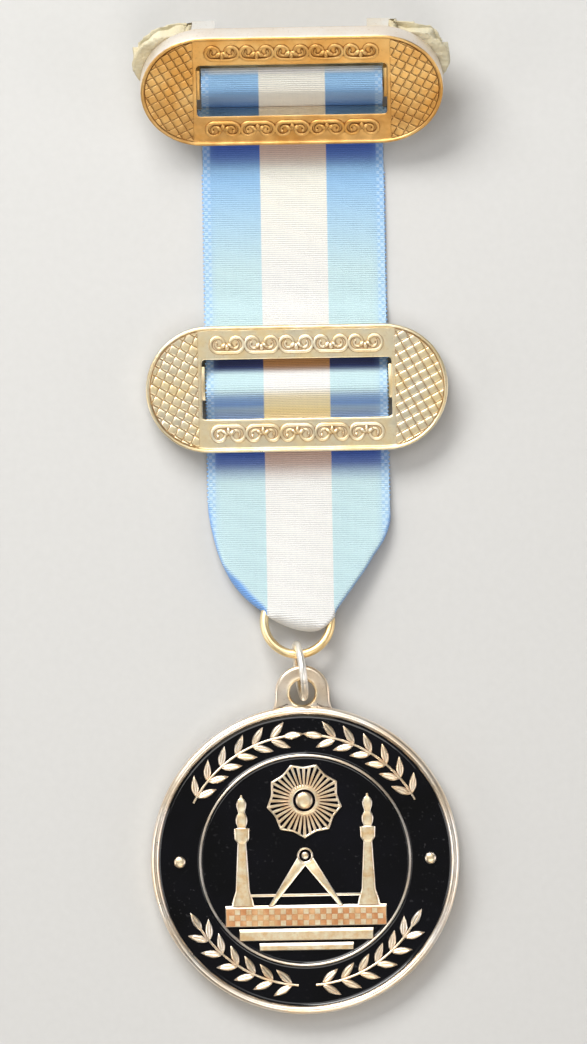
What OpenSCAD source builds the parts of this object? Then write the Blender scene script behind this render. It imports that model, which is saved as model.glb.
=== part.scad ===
// Neck-length dress medal lying face up: brooch bar, striped ribbon, slide bar, rings and enamelled disc.
// Millimetres. +Y runs from the disc to the brooch bar, +Z is up, and z = 0 is what the medal lies on.

/* [Ribbon] */
// Width of the woven ribbon
ribbon_w = 25; // [22:0.5:30]
// Thickness of the ribbon
ribbon_t = 1; // [0.8:0.05:1.2]
// Ribbon seen between the two bars
between_bars = 24.8; // [16:0.1:40]
// Ribbon from the slide bar to its folded end
drop_l = 24.8; // [23:0.1:34]
// Length of the layer turned up behind the folded end
turn_up = 12; // [9:0.5:13]

/* [Bars] */
// Length of each solid end of a bar
bar_end = 7.8; // [6:0.1:12]
// Width of each rail above and below the window
rail_w = 4.65; // [4:0.05:7]
// Height of the window
window_w = 8.2; // [7.8:0.1:10]
// Room at each side of the ribbon in the window
window_room = 0.6; // [0.4:0.05:1.2]
// Thickness of a bar up to its face
bar_t = 2.4; // [2.2:0.05:3]
// Width of the raised rim round a bar
rim_w = 0.55; // [0.4:0.05:0.9]
// Height of the raised rim, scrolls and pillows
bar_relief = 0.3; // [0.2:0.05:0.45]
// Diameter of the rod that carries the ribbon
rod_d = 1.3; // [1.1:0.05:1.5]
// Width of the lug at each end of the rod
lug_w = 4; // [3:0.1:5]
// Length of that lug
lug_l = 0.45; // [0.3:0.05:0.5]
// Angle at which the brooch bar is propped up
bar_tilt = 33; // [20:1:38]

/* [Bar ornament] */
// Length that one pair of scrolls takes on a rail
scroll_pitch = 4.75; // [4.6:0.05:6]
// Outer radius of a scroll
scroll_r = 1.15; // [0.9:0.05:1.25]
// Width of a scroll's line
scroll_line = 0.32; // [0.25:0.01:0.45]
// Spacing of the pillow squares
pillow_pitch = 1.22; // [1.1:0.02:2]
// Groove between the pillow squares
pillow_groove = 0.3; // [0.2:0.02:0.4]
// Slant of the pillow rows
pillow_slant = 28; // [0:1:45]

/* [Pad and brooch pin] */
// Length of the foam pad behind the brooch bar
pad_l = 43.8; // [36:0.2:50]
// Height of the foam pad
pad_w = 9.7; // [7:0.1:11]
// Thickness of the foam pad
pad_t = 3; // [2:0.1:3.6]
// Length of the brooch pin's plate
brooch_l = 32; // [24:0.5:36]
// Width of the brooch pin's plate
brooch_w = 4.6; // [4:0.1:5.4]
// Thickness of that plate
plate_t = 0.8; // [0.6:0.05:1]
// Diameter of the pin wire
pin_d = 0.9; // [0.7:0.05:1]

/* [Rings] */
// Outside diameter of the ring through the ribbon
ring_od = 10.4; // [9.6:0.1:11.6]
// Wire of that ring
ring_wire = 1.2; // [1:0.05:1.4]
// How far that ring stands out below the ribbon
ring_show = 3.8; // [3.4:0.1:4.4]
// How far that ring hangs to one side
ring_side = -0.5; // [-0.6:0.1:0.3]
// Outside diameter of the jump ring
jump_od = 8.4; // [8:0.1:9.4]
// Wire of the jump ring
jump_wire = 1; // [0.8:0.05:1.1]
// Turn of the jump ring seen from above
jump_turn = 7; // [0:1:8]
// Lean of the jump ring to one side
jump_lean = 6; // [0:1:7]

/* [Disc] */
// Diameter of the disc
disc_d = 42.6; // [38:0.2:50]
// Thickness of the disc's plate
disc_t = 1.6; // [1.3:0.05:2]
// Width of the disc's rim
disc_rim_w = 1.15; // [0.9:0.05:1.6]
// Thickness of the rim
disc_rim_t = 2.8; // [2.5:0.05:3.2]
// Outside diameter of the loop
loop_d = 7.5; // [7:0.1:8.4]
// Hole of the loop
loop_hole_d = 3.5; // [3.3:0.05:3.8]
// Thickness of the loop
loop_t = 2.3; // [2:0.05:2.6]
// How far the loop's centre stands beyond the disc's edge
loop_out = 1.85; // [1.6:0.05:2.4]
// Width of the outer band, from the disc's edge to the thin raised ring
band_w = 6.8; // [6:0.1:8.8]
// Width of that ring's line
line_w = 0.42; // [0.3:0.02:0.6]
// Height of the raised figures above the plate
figure_h = 0.85; // [0.6:0.05:1]
// Thickness of the black enamel
enamel_t = 0.45; // [0.3:0.05:0.5]
// Length of one leaf
leaf_l = 2.9; // [2.2:0.1:3.2]
// Width of one leaf
leaf_w = 1.05; // [0.8:0.05:1.3]
// Angle that each spray of leaves covers
spray_angle = 58; // [40:1:66]

/* [Fit] */
// Gap left between neighbouring pieces
gap = 0.15; // [0.1:0.01:0.18]

/* [Hidden] */
$fn = 48;
sink = 0.2;

gold = "goldenrod";
rose_gold = "burlywood";

window_l = ribbon_w + 2 * window_room;
bar_l = window_l + 2 * bar_end;
bar_w = window_w + 2 * rail_w;
rod_r = rod_d / 2;

// Heights of the ribbon's middle layer: on the floor, under a bar and over a rod
under = gap + ribbon_t / 2;
wrap_r = rod_r + under;
lift = ribbon_t + gap;

// The brooch bar's own frame starts at the middle of its back, in the Y-Z plane.
bend_r = 4;
bar_top_y = bar_w / 2 + between_bars
    + bar_w / 2 * cos(bar_tilt) + (bar_t + bar_relief) * sin(bar_tilt);
bar_top_z = ribbon_t / 2 + bend_r * (1 - cos(bar_tilt))
    + bar_w / 2 * sin(bar_tilt) + under * cos(bar_tilt);

// Pad and pin hang on the back of the brooch bar, behind the ribbon's turned end.
pad_front = 2 * gap + ribbon_t;
pad_mid = 2.85;
pad_notch_l = 27.5;
pad_notch_d = 1.9;
plate_front = pad_front + pad_t + gap;
pin_mid = pad_mid;
foot_l = 3.2;
foot_low = pin_mid - brooch_w / 2;
foot_h = (bar_top_z + foot_low * sin(bar_tilt)) / cos(bar_tilt);

// The ring lies between the two layers of the fold and is lifted by the jump ring at its lower side.
ring_r = (ring_od - ring_wire) / 2;
jump_r = (jump_od - jump_wire) / 2;
jump_hold = 20;
jump_reach = jump_r - jump_wire / 2 - ring_wire / 2 - gap;
fold_y = -bar_w / 2 - drop_l;
ring_high_z = lift + ring_wire / 2;
jump_z = jump_r * cos(jump_lean) + jump_wire / 2;
ring_low_z = jump_z - jump_reach * sin(jump_hold);
ring_tilt = asin((ring_low_z - ring_high_z) / (2 * ring_r));
ring_low_y = fold_y - ring_show + ring_wire / 2;
ring_y = ring_low_y + ring_r * cos(ring_tilt);
ring_z = (ring_high_z + ring_low_z) / 2;
jump_y = ring_low_y - jump_reach * cos(jump_hold);

// The loop's wall lies in the jump ring, and the far edge of the disc on the floor.
disc_r = disc_d / 2;
field_r = disc_r - band_w;
loop_r = loop_d / 2;
loop_hole_r = loop_hole_d / 2;
loop_c = disc_r + loop_out;
wall_w = loop_r - loop_hole_r;
wall_back = 0.2;
wall_far = wall_w / 2 + wall_back;
loop_low_z = jump_z - sqrt(pow(jump_r - jump_wire / 2 - gap, 2) - pow(wall_far, 2));
disc_tilt = asin(loop_low_z / (disc_r + loop_c + loop_hole_r));
disc_y = jump_y - wall_back - (loop_r + loop_hole_r) / 2 - loop_c * cos(disc_tilt);
disc_edge = disc_rim_w / 2;
disc_z = (disc_r - disc_edge) * sin(disc_tilt) + disc_edge * (1 - cos(disc_tilt));

// The origin is under the middle of the whole, so everything moves by this much along Y.
far_y = bar_top_y + max(
    bar_w / 2 * cos(bar_tilt),
    (pad_mid + pad_w / 2) * cos(bar_tilt) + (pad_front + pad_t) * sin(bar_tilt),
    (pin_mid + brooch_w / 2) * cos(bar_tilt) + foot_h * sin(bar_tilt));
near_y = disc_y - (disc_r - disc_edge) * cos(disc_tilt)
    - (disc_rim_t - disc_edge) * sin(disc_tilt) - disc_edge;
shift_y = -(far_y + near_y) / 2;

// Ribbon outline below the slide bar: share of the drop, share of half the width left and right
taper = [
    [0.30, 1.00, 1.00],
    [0.41, 0.97, 0.99],
    [0.51, 0.93, 0.92],
    [0.59, 0.89, 0.82],
    [0.68, 0.82, 0.71],
    [0.76, 0.74, 0.60],
    [0.84, 0.62, 0.49]
];
// Ribbon outline at the fold: share of the fold's depth from its end, share of the room in the ring
tip = [
    [1.00, 1.00],
    [0.55, 0.92],
    [0.22, 0.70],
    [0.05, 0.40],
    [0.00, 0.15]
];

// A point of the brooch bar's own frame, across and above its back, in the Y-Z plane
function on_top_bar(p) = [
    bar_top_y + p[0] * cos(bar_tilt) - p[1] * sin(bar_tilt),
    bar_top_z + p[0] * sin(bar_tilt) + p[1] * cos(bar_tilt)
];
function arc(c, r, from, to, n) = [
    for (i = [0:n]) let (a = from + (to - from) * i / n) [c[0] + r * cos(a), c[1] + r * sin(a)]
];
function bezier(a, b, c, d, n) = [
    for (i = [0:n]) let (t = i / n, s = 1 - t)
        s * s * s * a + 3 * s * s * t * b + 3 * s * t * t * c + t * t * t * d
];
// Height of the ribbon's middle over the rod, at a distance from it along the bar's width
function hill(y, low) = low + wrap_r * (1 + cos(180 * abs(y) / (window_w / 2)));
function unit(v) = v / norm(v);
function turned(v) = [-v[1], v[0]];
// A line moved sideways by d, each corner mitred
function beside(line, d) = [
    for (i = [0:len(line) - 1])
        let (
            last = len(line) - 1,
            before = unit(line[max(i, 1)] - line[max(i, 1) - 1]),
            after = unit(line[min(i + 1, last)] - line[min(i + 1, last) - 1]),
            mid = unit(before + after)
        )
        line[i] + turned(mid) * d / (mid * before)
];
function reversed(list) = [for (i = [len(list) - 1:-1:0]) list[i]];

// The middle of the ribbon seen from its edge, from its end behind the brooch bar to its turned-up end
hill_steps = 14;
tail_l = 0.8;
fold_top_z = ring_z + (ring_y - fold_y - 2) * tan(ring_tilt) + (ring_wire / 2 + under) / cos(ring_tilt);
fold_r = (fold_top_z - ribbon_t / 2) / 2;
fold_mid_y = fold_y + fold_r + ribbon_t / 2;
over_ring = ring_y + ring_od / 2;
over_ring_z = ring_z - (over_ring - ring_y) * tan(ring_tilt) + (ring_wire / 2 + under) / cos(ring_tilt);
drop_from = -bar_w / 2 - 3.5;
ease = (drop_from - over_ring) * 0.31;
top_part = [
    for (p = concat(
        [[-tail_l, -under]],
        arc([0, rod_r], wrap_r, -90, 90, 12),
        [for (i = [1:hill_steps]) let (y = -window_w / 2 * i / hill_steps) [y, hill(y, -under)]],
        [[-bar_w / 2, -under]]
    )) on_top_bar(p)
];
bend_c = on_top_bar([-bar_w / 2, bend_r - under]);
bend_part = arc(bend_c, bend_r, -90 + bar_tilt, -90, 6);
middle_part = [
    for (i = [-hill_steps:hill_steps]) let (y = -window_w / 2 * i / hill_steps)
        [y, hill(y, ribbon_t / 2)]
];
drop_part = bezier(
    [drop_from, ribbon_t / 2],
    [drop_from - ease, ribbon_t / 2],
    [over_ring + ease, over_ring_z - ease * tan(ring_tilt)],
    [over_ring, over_ring_z],
    14
);
fold_part = arc([fold_mid_y, ribbon_t / 2 + fold_r], fold_r, 90, 270, 14);
ribbon_line = concat(
    top_part,
    [for (i = [1:len(bend_part) - 1]) bend_part[i]],
    middle_part,
    drop_part,
    fold_part,
    [[fold_y + turn_up, ribbon_t / 2]]
);

module stadium(l, w) {
    translate([-(l - w) / 2, 0]) circle(d = w);
    translate([(l - w) / 2, 0]) circle(d = w);
    square([l - w, w], center = true);
}

module round_square(l, w, r) {
    square([l - 2 * r, w], center = true);
    square([l, w - 2 * r], center = true);
    for (x = [-1, 1], y = [-1, 1])
        translate([x * (l / 2 - r), y * (w / 2 - r)]) circle(r = r);
}

// One raised line bent to an arc, as a soft scroll
module scroll_arc(r, from, sweep) {
    rotate([0, 0, from])
        rotate_extrude(angle = sweep)
            translate([r - scroll_line / 2, 0]) square([scroll_line, bar_relief + sink]);
}

// A pair of scrolls that face each other round a small fan; the open side is +Y
module scroll_pair() {
    r = scroll_r - scroll_line / 2;
    curl_r = r * 0.42;
    apart = scroll_pitch / 2 - scroll_r - 0.03;
    for (side = [-1, 1])
        scale([side, 1, 1])
            translate([apart, 0, 0]) {
                scroll_arc(r, -100, 215);
                translate([r - curl_r - scroll_line * 1.6, r * 0.2, 0]) scroll_arc(curl_r, 150, 230);
            }
    fan_r = scroll_r * 0.42;
    translate([0, -r * 0.62, 0]) cylinder(r = fan_r, h = bar_relief + sink);
    translate([0, r * 0.1, 0]) cylinder(r = fan_r * 0.6, h = bar_relief + sink);
}

module rail_scrolls() {
    count = floor(window_l / scroll_pitch);
    for (i = [0:count - 1], side = [-1, 1])
        translate([(i - (count - 1) / 2) * scroll_pitch, side * (window_w + rail_w - rim_w) / 2, 0])
            scale([1, side, 1]) scroll_pair();
}

module pillows() {
    reach = ceil(max(bar_end, bar_w) / pillow_pitch);
    size = pillow_pitch - pillow_groove;
    margin = 0.25;
    intersection() {
        translate([(window_l + bar_end) / 2, 0])
            rotate([0, 0, pillow_slant])
                for (i = [-reach:reach], j = [-reach:reach])
                    translate([i * pillow_pitch, j * pillow_pitch]) square(size, center = true);
        stadium(bar_l - 2 * rim_w - 2 * margin, bar_w - 2 * rim_w - 2 * margin);
        translate([window_l / 2 + 0.9, -bar_w / 2]) square([bar_end, bar_w]);
    }
}

// The casting that both bars share, with its back at z = 0
module bar_casting() {
    linear_extrude(bar_t)
        difference() {
            stadium(bar_l, bar_w);
            round_square(window_l, window_w, 0.5);
        }
    translate([0, 0, bar_t - sink])
        linear_extrude(bar_relief + sink)
            difference() {
                stadium(bar_l, bar_w);
                stadium(bar_l - 2 * rim_w, bar_w - 2 * rim_w);
            }
    translate([0, 0, rod_r])
        rotate([0, 90, 0]) cylinder(r = rod_r, h = window_l + 2 * sink, center = true);
    for (side = [-1, 1])
        translate([side * (window_l + sink - lug_l) / 2, 0, (bar_t - 0.3) / 2])
            cube([lug_l + sink, lug_w, bar_t - 0.3], center = true);
    translate([0, 0, bar_t - sink]) rail_scrolls();
    translate([0, 0, bar_t - sink])
        linear_extrude(bar_relief + sink)
            for (side = [0, 1]) mirror([side, 0, 0]) pillows();
}

module place_on_top_bar() {
    translate([0, shift_y + bar_top_y, bar_top_z]) rotate([bar_tilt, 0, 0]) children();
}

// The same casting, turned end for end
module top_bar() {
    color(gold) place_on_top_bar() rotate([0, 0, 180]) bar_casting();
}

module middle_bar() {
    color(rose_gold) translate([0, shift_y, lift]) bar_casting();
}

module ribbon_outline() {
    half = ribbon_w / 2;
    room = sqrt(pow(ring_r - ring_wire / 2 - gap, 2) - pow(ring_wire, 2));
    fold_d = 2 * fold_r * 0.6;
    left = [for (row = taper) [-row[1] * half, -bar_w / 2 - row[0] * drop_l]];
    right = [for (row = taper) [row[2] * half, -bar_w / 2 - row[0] * drop_l]];
    tip_left = [for (row = tip) [ring_side - row[1] * room, fold_y + row[0] * fold_d]];
    tip_right = [for (row = tip) [ring_side + row[1] * room, fold_y + row[0] * fold_d]];
    top = bar_top_y + bar_w;
    polygon(concat(
        [[half, top], [-half, top]],
        left,
        tip_left,
        reversed(tip_right),
        reversed(right)
    ));
}

module ribbon() {
    color("lightskyblue")
        translate([0, shift_y, 0])
            intersection() {
                rotate([90, 0, 90])
                    linear_extrude(ribbon_w, center = true)
                        polygon(concat(
                            beside(ribbon_line, ribbon_t / 2),
                            reversed(beside(ribbon_line, -ribbon_t / 2))
                        ));
                translate([0, 0, -1]) linear_extrude(bar_top_z + bar_w) ribbon_outline();
            }
}

module torus(r, wire) {
    rotate_extrude() translate([r, 0]) circle(d = wire);
}

module suspension_ring() {
    color(gold)
        translate([ring_side, shift_y + ring_y, ring_z])
            rotate([-ring_tilt, 0, 0]) torus(ring_r, ring_wire);
}

module jump_ring() {
    color("silver")
        translate([ring_side / 2, shift_y + jump_y, jump_z])
            rotate([0, jump_lean, jump_turn])
                rotate([0, 90, 0]) torus(jump_r, jump_wire);
}

module place_disc() {
    translate([0, shift_y + disc_y, disc_z]) rotate([disc_tilt, 0, 0]) children();
}

// A leaf from the origin along +X, as the space that two circles share
module leaf(l, w, grow) {
    r = (l * l + w * w) / (4 * w);
    translate([l / 2, 0])
        intersection() {
            translate([0, r - w / 2]) circle(r = r + grow);
            translate([0, w / 2 - r]) circle(r = r + grow);
        }
}

band_r = (field_r + disc_r - disc_rim_w) / 2;
band_room = disc_r - disc_rim_w - field_r;
leaf_pairs = floor(band_r * spray_angle * PI / 180 / (leaf_l * 0.98));

// Half a wreath: a stem with pairs of leaves, from the start angle on towards +angle
module spray(grow) {
    step = spray_angle / (leaf_pairs + 0.6);
    stem = 0.3;
    past = grow / band_r * 180 / PI;
    stem_end = spray_angle * 0.95 + past;
    intersection() {
        difference() {
            circle(r = band_r + stem / 2 + grow);
            circle(r = band_r - stem / 2 - grow);
        }
        polygon([
            [0, 0],
            2 * band_r * [cos(past), -sin(past)],
            2 * band_r * [cos(stem_end / 2), sin(stem_end / 2)],
            2 * band_r * [cos(stem_end), sin(stem_end)]
        ]);
    }
    for (i = [0:leaf_pairs - 1], side = [-1, 1])
        rotate([0, 0, (i + 0.35) * step])
            translate([band_r + side * 0.12, 0])
                rotate([0, 0, 90 - side * 36]) leaf(leaf_l, leaf_w, grow);
    rotate([0, 0, leaf_pairs * step])
        translate([band_r, 0]) rotate([0, 0, 92]) leaf(leaf_l, leaf_w, grow);
}

module border_figures(grow) {
    for (side = [0, 1], start = [-86, 90 - spray_angle - 4])
        mirror([side, 0]) rotate([0, 0, start]) spray(grow);
    for (side = [-1, 1])
        translate([side * band_r, 0]) circle(r = band_room * 0.145 + grow);
}

// An outline moved outwards by the same distance everywhere; it runs anticlockwise
function grown(points, grow) = [
    for (i = [0:len(points) - 1])
        let (
            count = len(points),
            before = points[i] - points[(i + count - 1) % count],
            after = points[(i + 1) % count] - points[i],
            side_a = [before[1], -before[0]] / norm(before),
            side_b = [after[1], -after[0]] / norm(after),
            out = (side_a + side_b) / norm(side_a + side_b)
        )
            points[i] + out * grow / max(out * side_a, 0.4)
];

// Sun: nine points, one of them straight down, with hollow sides between them
module sun(grow) {
    points = 9;
    steps = 8;
    tip = field_r * 0.364;
    hollow = field_r * 0.042;
    outline = [
        for (i = [0:points * steps - 1])
            let (
                away = abs((i + steps / 2) % steps - steps / 2) / (steps / 2),
                angle = i * 360 / points / steps - 90
            )
                (tip - hollow * (1 - pow(1 - away, 1.6))) * [cos(angle), sin(angle)]
    ];
    translate([0, field_r * 0.57]) polygon(grown(outline, grow));
}

// Open compasses, standing on the widest step
module compasses(grow) {
    leg = field_r * [[0, 0], [0, -0.099], [0.31, -0.48], [0.358, -0.48], [0.073, -0.012]];
    translate([0, field_r * 0.045]) {
        circle(r = field_r * 0.078 + grow);
        for (side = [-1, 1]) scale([side, 1]) polygon(grown(leg, grow));
    }
}

// Pillar outline with its capital and two globes: height and half width, as shares of the field's radius
pillar_rows = [
    [-0.43, 0.106],
    [-0.37, 0.095],
    [-0.29, 0.069],
    [0.170, 0.043],
    [0.190, 0.058],
    [0.220, 0.071],
    [0.310, 0.073],
    [0.318, 0.038],
    [0.355, 0.053],
    [0.394, 0.058],
    [0.435, 0.048],
    [0.460, 0.032],
    [0.500, 0.043],
    [0.540, 0.049],
    [0.585, 0.034],
    [0.605, 0.014],
    [0.630, 0.007]
];

// A form that is the same on both sides of its middle line
module turned_form(rows, grow) {
    right = [for (row = rows) field_r * [row[1], row[0]]];
    polygon(grown(concat(right, reversed([for (p = right) [-p[0], p[1]]])), grow));
}

// Steps: top, height and width as shares of the field's radius
step_rows = [
    [-0.425, 0.205, 1.54],
    [-0.65, 0.115, 1.28],
    [-0.785, 0.075, 0.9]
];

module field_figures(grow) {
    sun(grow);
    compasses(grow);
    for (side = [-1, 1]) translate([side * field_r * 0.6, 0])
            turned_form(pillar_rows, grow);
    for (row = step_rows)
        translate([-row[2] * field_r / 2 - grow, (row[0] - row[1]) * field_r - grow])
            square([row[2] * field_r + 2 * grow, row[1] * field_r + 2 * grow]);
}

module disc_profile() {
    square([disc_r - disc_edge, disc_t]);
    translate([disc_r - disc_edge, disc_edge]) circle(r = disc_edge);
    translate([disc_r - disc_edge, disc_rim_t - disc_edge]) circle(r = disc_edge);
    translate([disc_r - disc_rim_w, disc_edge]) square([disc_rim_w, disc_rim_t - 2 * disc_edge]);
}

module loop_solid() {
    neck = loop_d * 0.93;
    bevel = 0.3;
    difference() {
        union() {
            translate([0, loop_c, 0]) cylinder(r = loop_r, h = loop_t);
            translate([-neck / 2, disc_r - disc_rim_w, 0])
                cube([neck, loop_out + disc_rim_w, loop_t * 0.93]);
        }
        translate([0, 0, -1]) cylinder(r = disc_r - disc_edge, h = loop_t + 2);
        translate([0, loop_c, -1]) cylinder(r = loop_hole_r, h = loop_t + 2);
        translate([0, loop_c, loop_t - bevel])
            cylinder(r1 = loop_hole_r, r2 = loop_hole_r + bevel + 0.01, h = bevel + 0.01);
    }
}

module medal() {
    color(rose_gold)
        place_disc() {
            rotate_extrude() disc_profile();
            loop_solid();
            translate([0, 0, disc_t - sink])
                linear_extrude(figure_h + sink) {
                    difference() {
                        circle(r = field_r + line_w / 2);
                        circle(r = field_r - line_w / 2);
                    }
                    border_figures(0);
                    field_figures(0);
                }
        }
}

module enamel_border() {
    color([0.02, 0.02, 0.03])
        place_disc()
            translate([0, 0, disc_t + gap / 3])
                linear_extrude(enamel_t)
                    difference() {
                        circle(r = disc_r - disc_rim_w - gap);
                        circle(r = field_r + line_w / 2 + gap);
                        border_figures(gap);
                    }
}

module enamel_field() {
    color([0.02, 0.02, 0.03])
        place_disc()
            translate([0, 0, disc_t + gap / 3])
                linear_extrude(enamel_t)
                    difference() {
                        circle(r = field_r - line_w / 2 - gap);
                        field_figures(gap);
                    }
}

// Foam pad, pressed thin where the ribbon's end lies under it
module backing_pad() {
    pressed_l = ribbon_w + 4 * gap;
    color("cornsilk")
        place_on_top_bar()
            translate([0, pad_mid, -pad_front - pad_t])
                difference() {
                    linear_extrude(pad_front - gap + pad_t)
                        difference() {
                            stadium(pad_l, pad_w);
                            translate([0, pad_w / 2])
                                square([pad_notch_l, 2 * pad_notch_d], center = true);
                        }
                    translate([-pressed_l / 2, -pad_w, pad_t]) cube([pressed_l, 2 * pad_w, pad_front]);
                }
}

// Plate with a foot at each end and the wire between them, as one plain piece
module brooch_pin() {
    wire_low = foot_h - 1.1;
    color("silver")
        place_on_top_bar()
            translate([0, pin_mid, 0]) {
                translate([0, 0, -plate_front - plate_t])
                    linear_extrude(plate_t) stadium(brooch_l, brooch_w);
                for (side = [-1, 1])
                    translate([side * (brooch_l - brooch_w - foot_l) / 2 - foot_l / 2, -brooch_w / 2, -foot_h])
                        cube([foot_l, brooch_w, foot_h - plate_front - plate_t / 2]);
                translate([0, 0, -wire_low])
                    rotate([0, 90, 0]) cylinder(d = pin_d, h = brooch_l - brooch_w - foot_l, center = true);
            }
}

top_bar();
middle_bar();
ribbon();
suspension_ring();
jump_ring();
medal();
enamel_border();
enamel_field();
backing_pad();
brooch_pin();
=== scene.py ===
from math import acos, atan2, copysign, cos, dist, hypot, pi, radians, sin, sqrt, tan

import bmesh
import bpy
from mathutils import Matrix, Vector, noise


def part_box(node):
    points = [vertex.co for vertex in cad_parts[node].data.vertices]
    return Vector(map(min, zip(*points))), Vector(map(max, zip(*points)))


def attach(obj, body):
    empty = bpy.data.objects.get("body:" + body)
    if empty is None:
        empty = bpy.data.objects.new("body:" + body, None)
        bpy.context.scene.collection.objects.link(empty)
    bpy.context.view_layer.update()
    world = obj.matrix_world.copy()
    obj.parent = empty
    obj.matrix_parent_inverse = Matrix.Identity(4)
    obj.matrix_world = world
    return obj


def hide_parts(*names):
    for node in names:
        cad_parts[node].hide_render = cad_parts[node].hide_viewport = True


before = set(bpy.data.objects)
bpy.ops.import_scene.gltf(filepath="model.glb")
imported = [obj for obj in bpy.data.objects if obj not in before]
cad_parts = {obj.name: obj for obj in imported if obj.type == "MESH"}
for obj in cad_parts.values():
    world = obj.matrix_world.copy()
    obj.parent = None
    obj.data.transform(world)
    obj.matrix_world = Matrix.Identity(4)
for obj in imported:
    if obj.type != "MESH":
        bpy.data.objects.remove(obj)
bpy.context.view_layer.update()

mm = 0.001


def newObject(name, data):
    made = bpy.data.objects.new(name, data)
    bpy.context.scene.collection.objects.link(made)
    return made


# The camera looks straight down on the lying jewel, turned a little, as the photograph does
view = {
    "distance": 2.4,
    "aim": (-0.0008, -0.0008),
    "roll": 1.0,  # degrees
    "sensor": 36.0,
    "seenHeight": 0.1444,  # metres at the page, over the whole frame
}


def makeCamera():
    data = bpy.data.cameras.new("camera")
    data.sensor_width = view["sensor"]
    data.lens = view["sensor"] * view["distance"] / view["seenHeight"]
    data.clip_start, data.clip_end = 0.01, 10
    camera = newObject("camera", data)
    camera.location = (*view["aim"], view["distance"])
    camera.rotation_euler = (0, 0, -radians(view["roll"]))
    bpy.context.scene.camera = camera


makeCamera()
print("camera ready")


# Small tools for node trees: a socket is linked, another value is set, and a colour gets its alpha
def setInputs(tree, node, wires):
    for key, value in wires.items():
        socket = node.inputs[key]
        for one in value if isinstance(value, list) else [value]:
            if isinstance(one, bpy.types.NodeSocket):
                tree.links.new(one, socket)
            else:
                socket.default_value = (*one, 1) if socket.type == "RGBA" else one


def newNode(tree, kind, wires=None, **settings):
    node = tree.nodes.new(kind)
    for key, value in settings.items():
        setattr(node, key, value)
    setInputs(tree, node, wires or {})
    return node


def geo(tree, kind, wires=None, out=0, **settings):
    return newNode(tree, "GeometryNode" + kind, wires, **settings).outputs[out]


def shade(tree, kind, wires=None, out=0, **settings):
    return newNode(tree, "ShaderNode" + kind, wires, **settings).outputs[out]


def mathNode(operation):
    return lambda tree, *values: shade(tree, "Math", dict(enumerate(values)), operation=operation)


mul, add, sub, div = (mathNode(name) for name in ("MULTIPLY", "ADD", "SUBTRACT", "DIVIDE"))
mulAdd, power, larger = (mathNode(name) for name in ("MULTIPLY_ADD", "POWER", "MAXIMUM"))
sine, cosine, absolute = (mathNode(name) for name in ("SINE", "COSINE", "ABSOLUTE"))
wholePart, fraction, modulo = (mathNode(name) for name in ("FLOOR", "FRACT", "MODULO"))


def vector(tree, x=0.0, y=0.0, z=0.0):
    return shade(tree, "CombineXYZ", {0: x, 1: y, 2: z})


def remap(tree, value, low, high, toLow=0.0, toHigh=1.0, smooth=False):
    wires = {"Value": value, "From Min": low, "From Max": high, "To Min": toLow, "To Max": toHigh}
    return shade(tree, "MapRange", wires, interpolation_type="SMOOTHSTEP" if smooth else "LINEAR")


# A node group; its sockets are given as their kinds with the labels of each
def newTree(family, name, outputs, **inputs):
    tree = bpy.data.node_groups.new(name, family + "NodeTree")
    for side, sockets in (("INPUT", inputs), ("OUTPUT", outputs)):
        for kind, labels in sockets.items():
            for label in labels.split():
                tree.interface.new_socket(label, in_out=side, socket_type="NodeSocket" + kind)
    return tree, tree.nodes.new("NodeGroupInput").outputs


def geometryTree(name, **inputs):
    return newTree("Geometry", name, {"Geometry": "Geometry"}, **inputs)


def closeTree(tree, geometry, material):
    real = geo(tree, "RealizeInstances", {0: geometry})
    newNode(tree, "NodeGroupOutput", {0: geo(tree, "SetMaterial", {0: real, "Material": material})})


def shapeOf(tree, source):
    return geo(tree, "ObjectInfo", {"Object": source}, out="Geometry")


def instances(tree, points, instance, **extra):
    return geo(tree, "InstanceOnPoints", {"Points": points, "Instance": instance, **extra})


def tubeAlong(tree, curve, sides, radius):
    section = geo(tree, "CurvePrimitiveCircle", {"Resolution": sides, "Radius": 1.0})
    return geo(tree, "CurveToMesh", {0: curve, 1: section, "Scale": radius, "Fill Caps": True})


def ball(tree, segments, rings):
    return geo(tree, "MeshUVSphere", {"Segments": segments, "Rings": rings, "Radius": 1.0})


# A tree's result as a plain mesh, from values given by the labels of its inputs
def runTree(tree, **values):
    carrier = newObject("carrier", bpy.data.meshes.new("carrier"))
    modifier = carrier.modifiers.new("make", "NODES")
    modifier.node_group = tree
    for item in tree.interface.items_tree:
        if item.name in values:
            modifier[item.identifier] = values[item.name]
    graph = bpy.context.evaluated_depsgraph_get()
    mesh = bpy.data.meshes.new_from_object(carrier.evaluated_get(graph))
    bpy.data.objects.remove(carrier)
    return mesh


# Small tools for meshes in millimetres

def arc(start, end, steps):
    return [radians(start + (end - start) * i / steps) for i in range(steps + 1)]


def polar(radius, angle, centre=(0, 0)):
    return centre[0] + radius * cos(angle), centre[1] + radius * sin(angle)


def circlePoints(radius, count, centre=(0, 0), start=0):
    return [polar(radius, start + 2 * pi * i / count, centre) for i in range(count)]


def rectanglePoints(left, right, low, high):
    return [(left, low), (right, low), (right, high), (left, high)]


# An outline moved inwards by the same distance everywhere; it runs anticlockwise
def insetOutline(outline, distance):
    moved = []
    for i, point in enumerate(outline):
        before = (Vector(point) - Vector(outline[i - 1])).normalized()
        after = (Vector(outline[(i + 1) % len(outline)]) - Vector(point)).normalized()
        sides = [Vector((-d.y, d.x)) for d in (before, after)]
        middle = (sides[0] + sides[1]).normalized()
        moved.append(Vector(point) + middle * distance / max(middle.dot(sides[0]), 0.3))
    return moved


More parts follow.
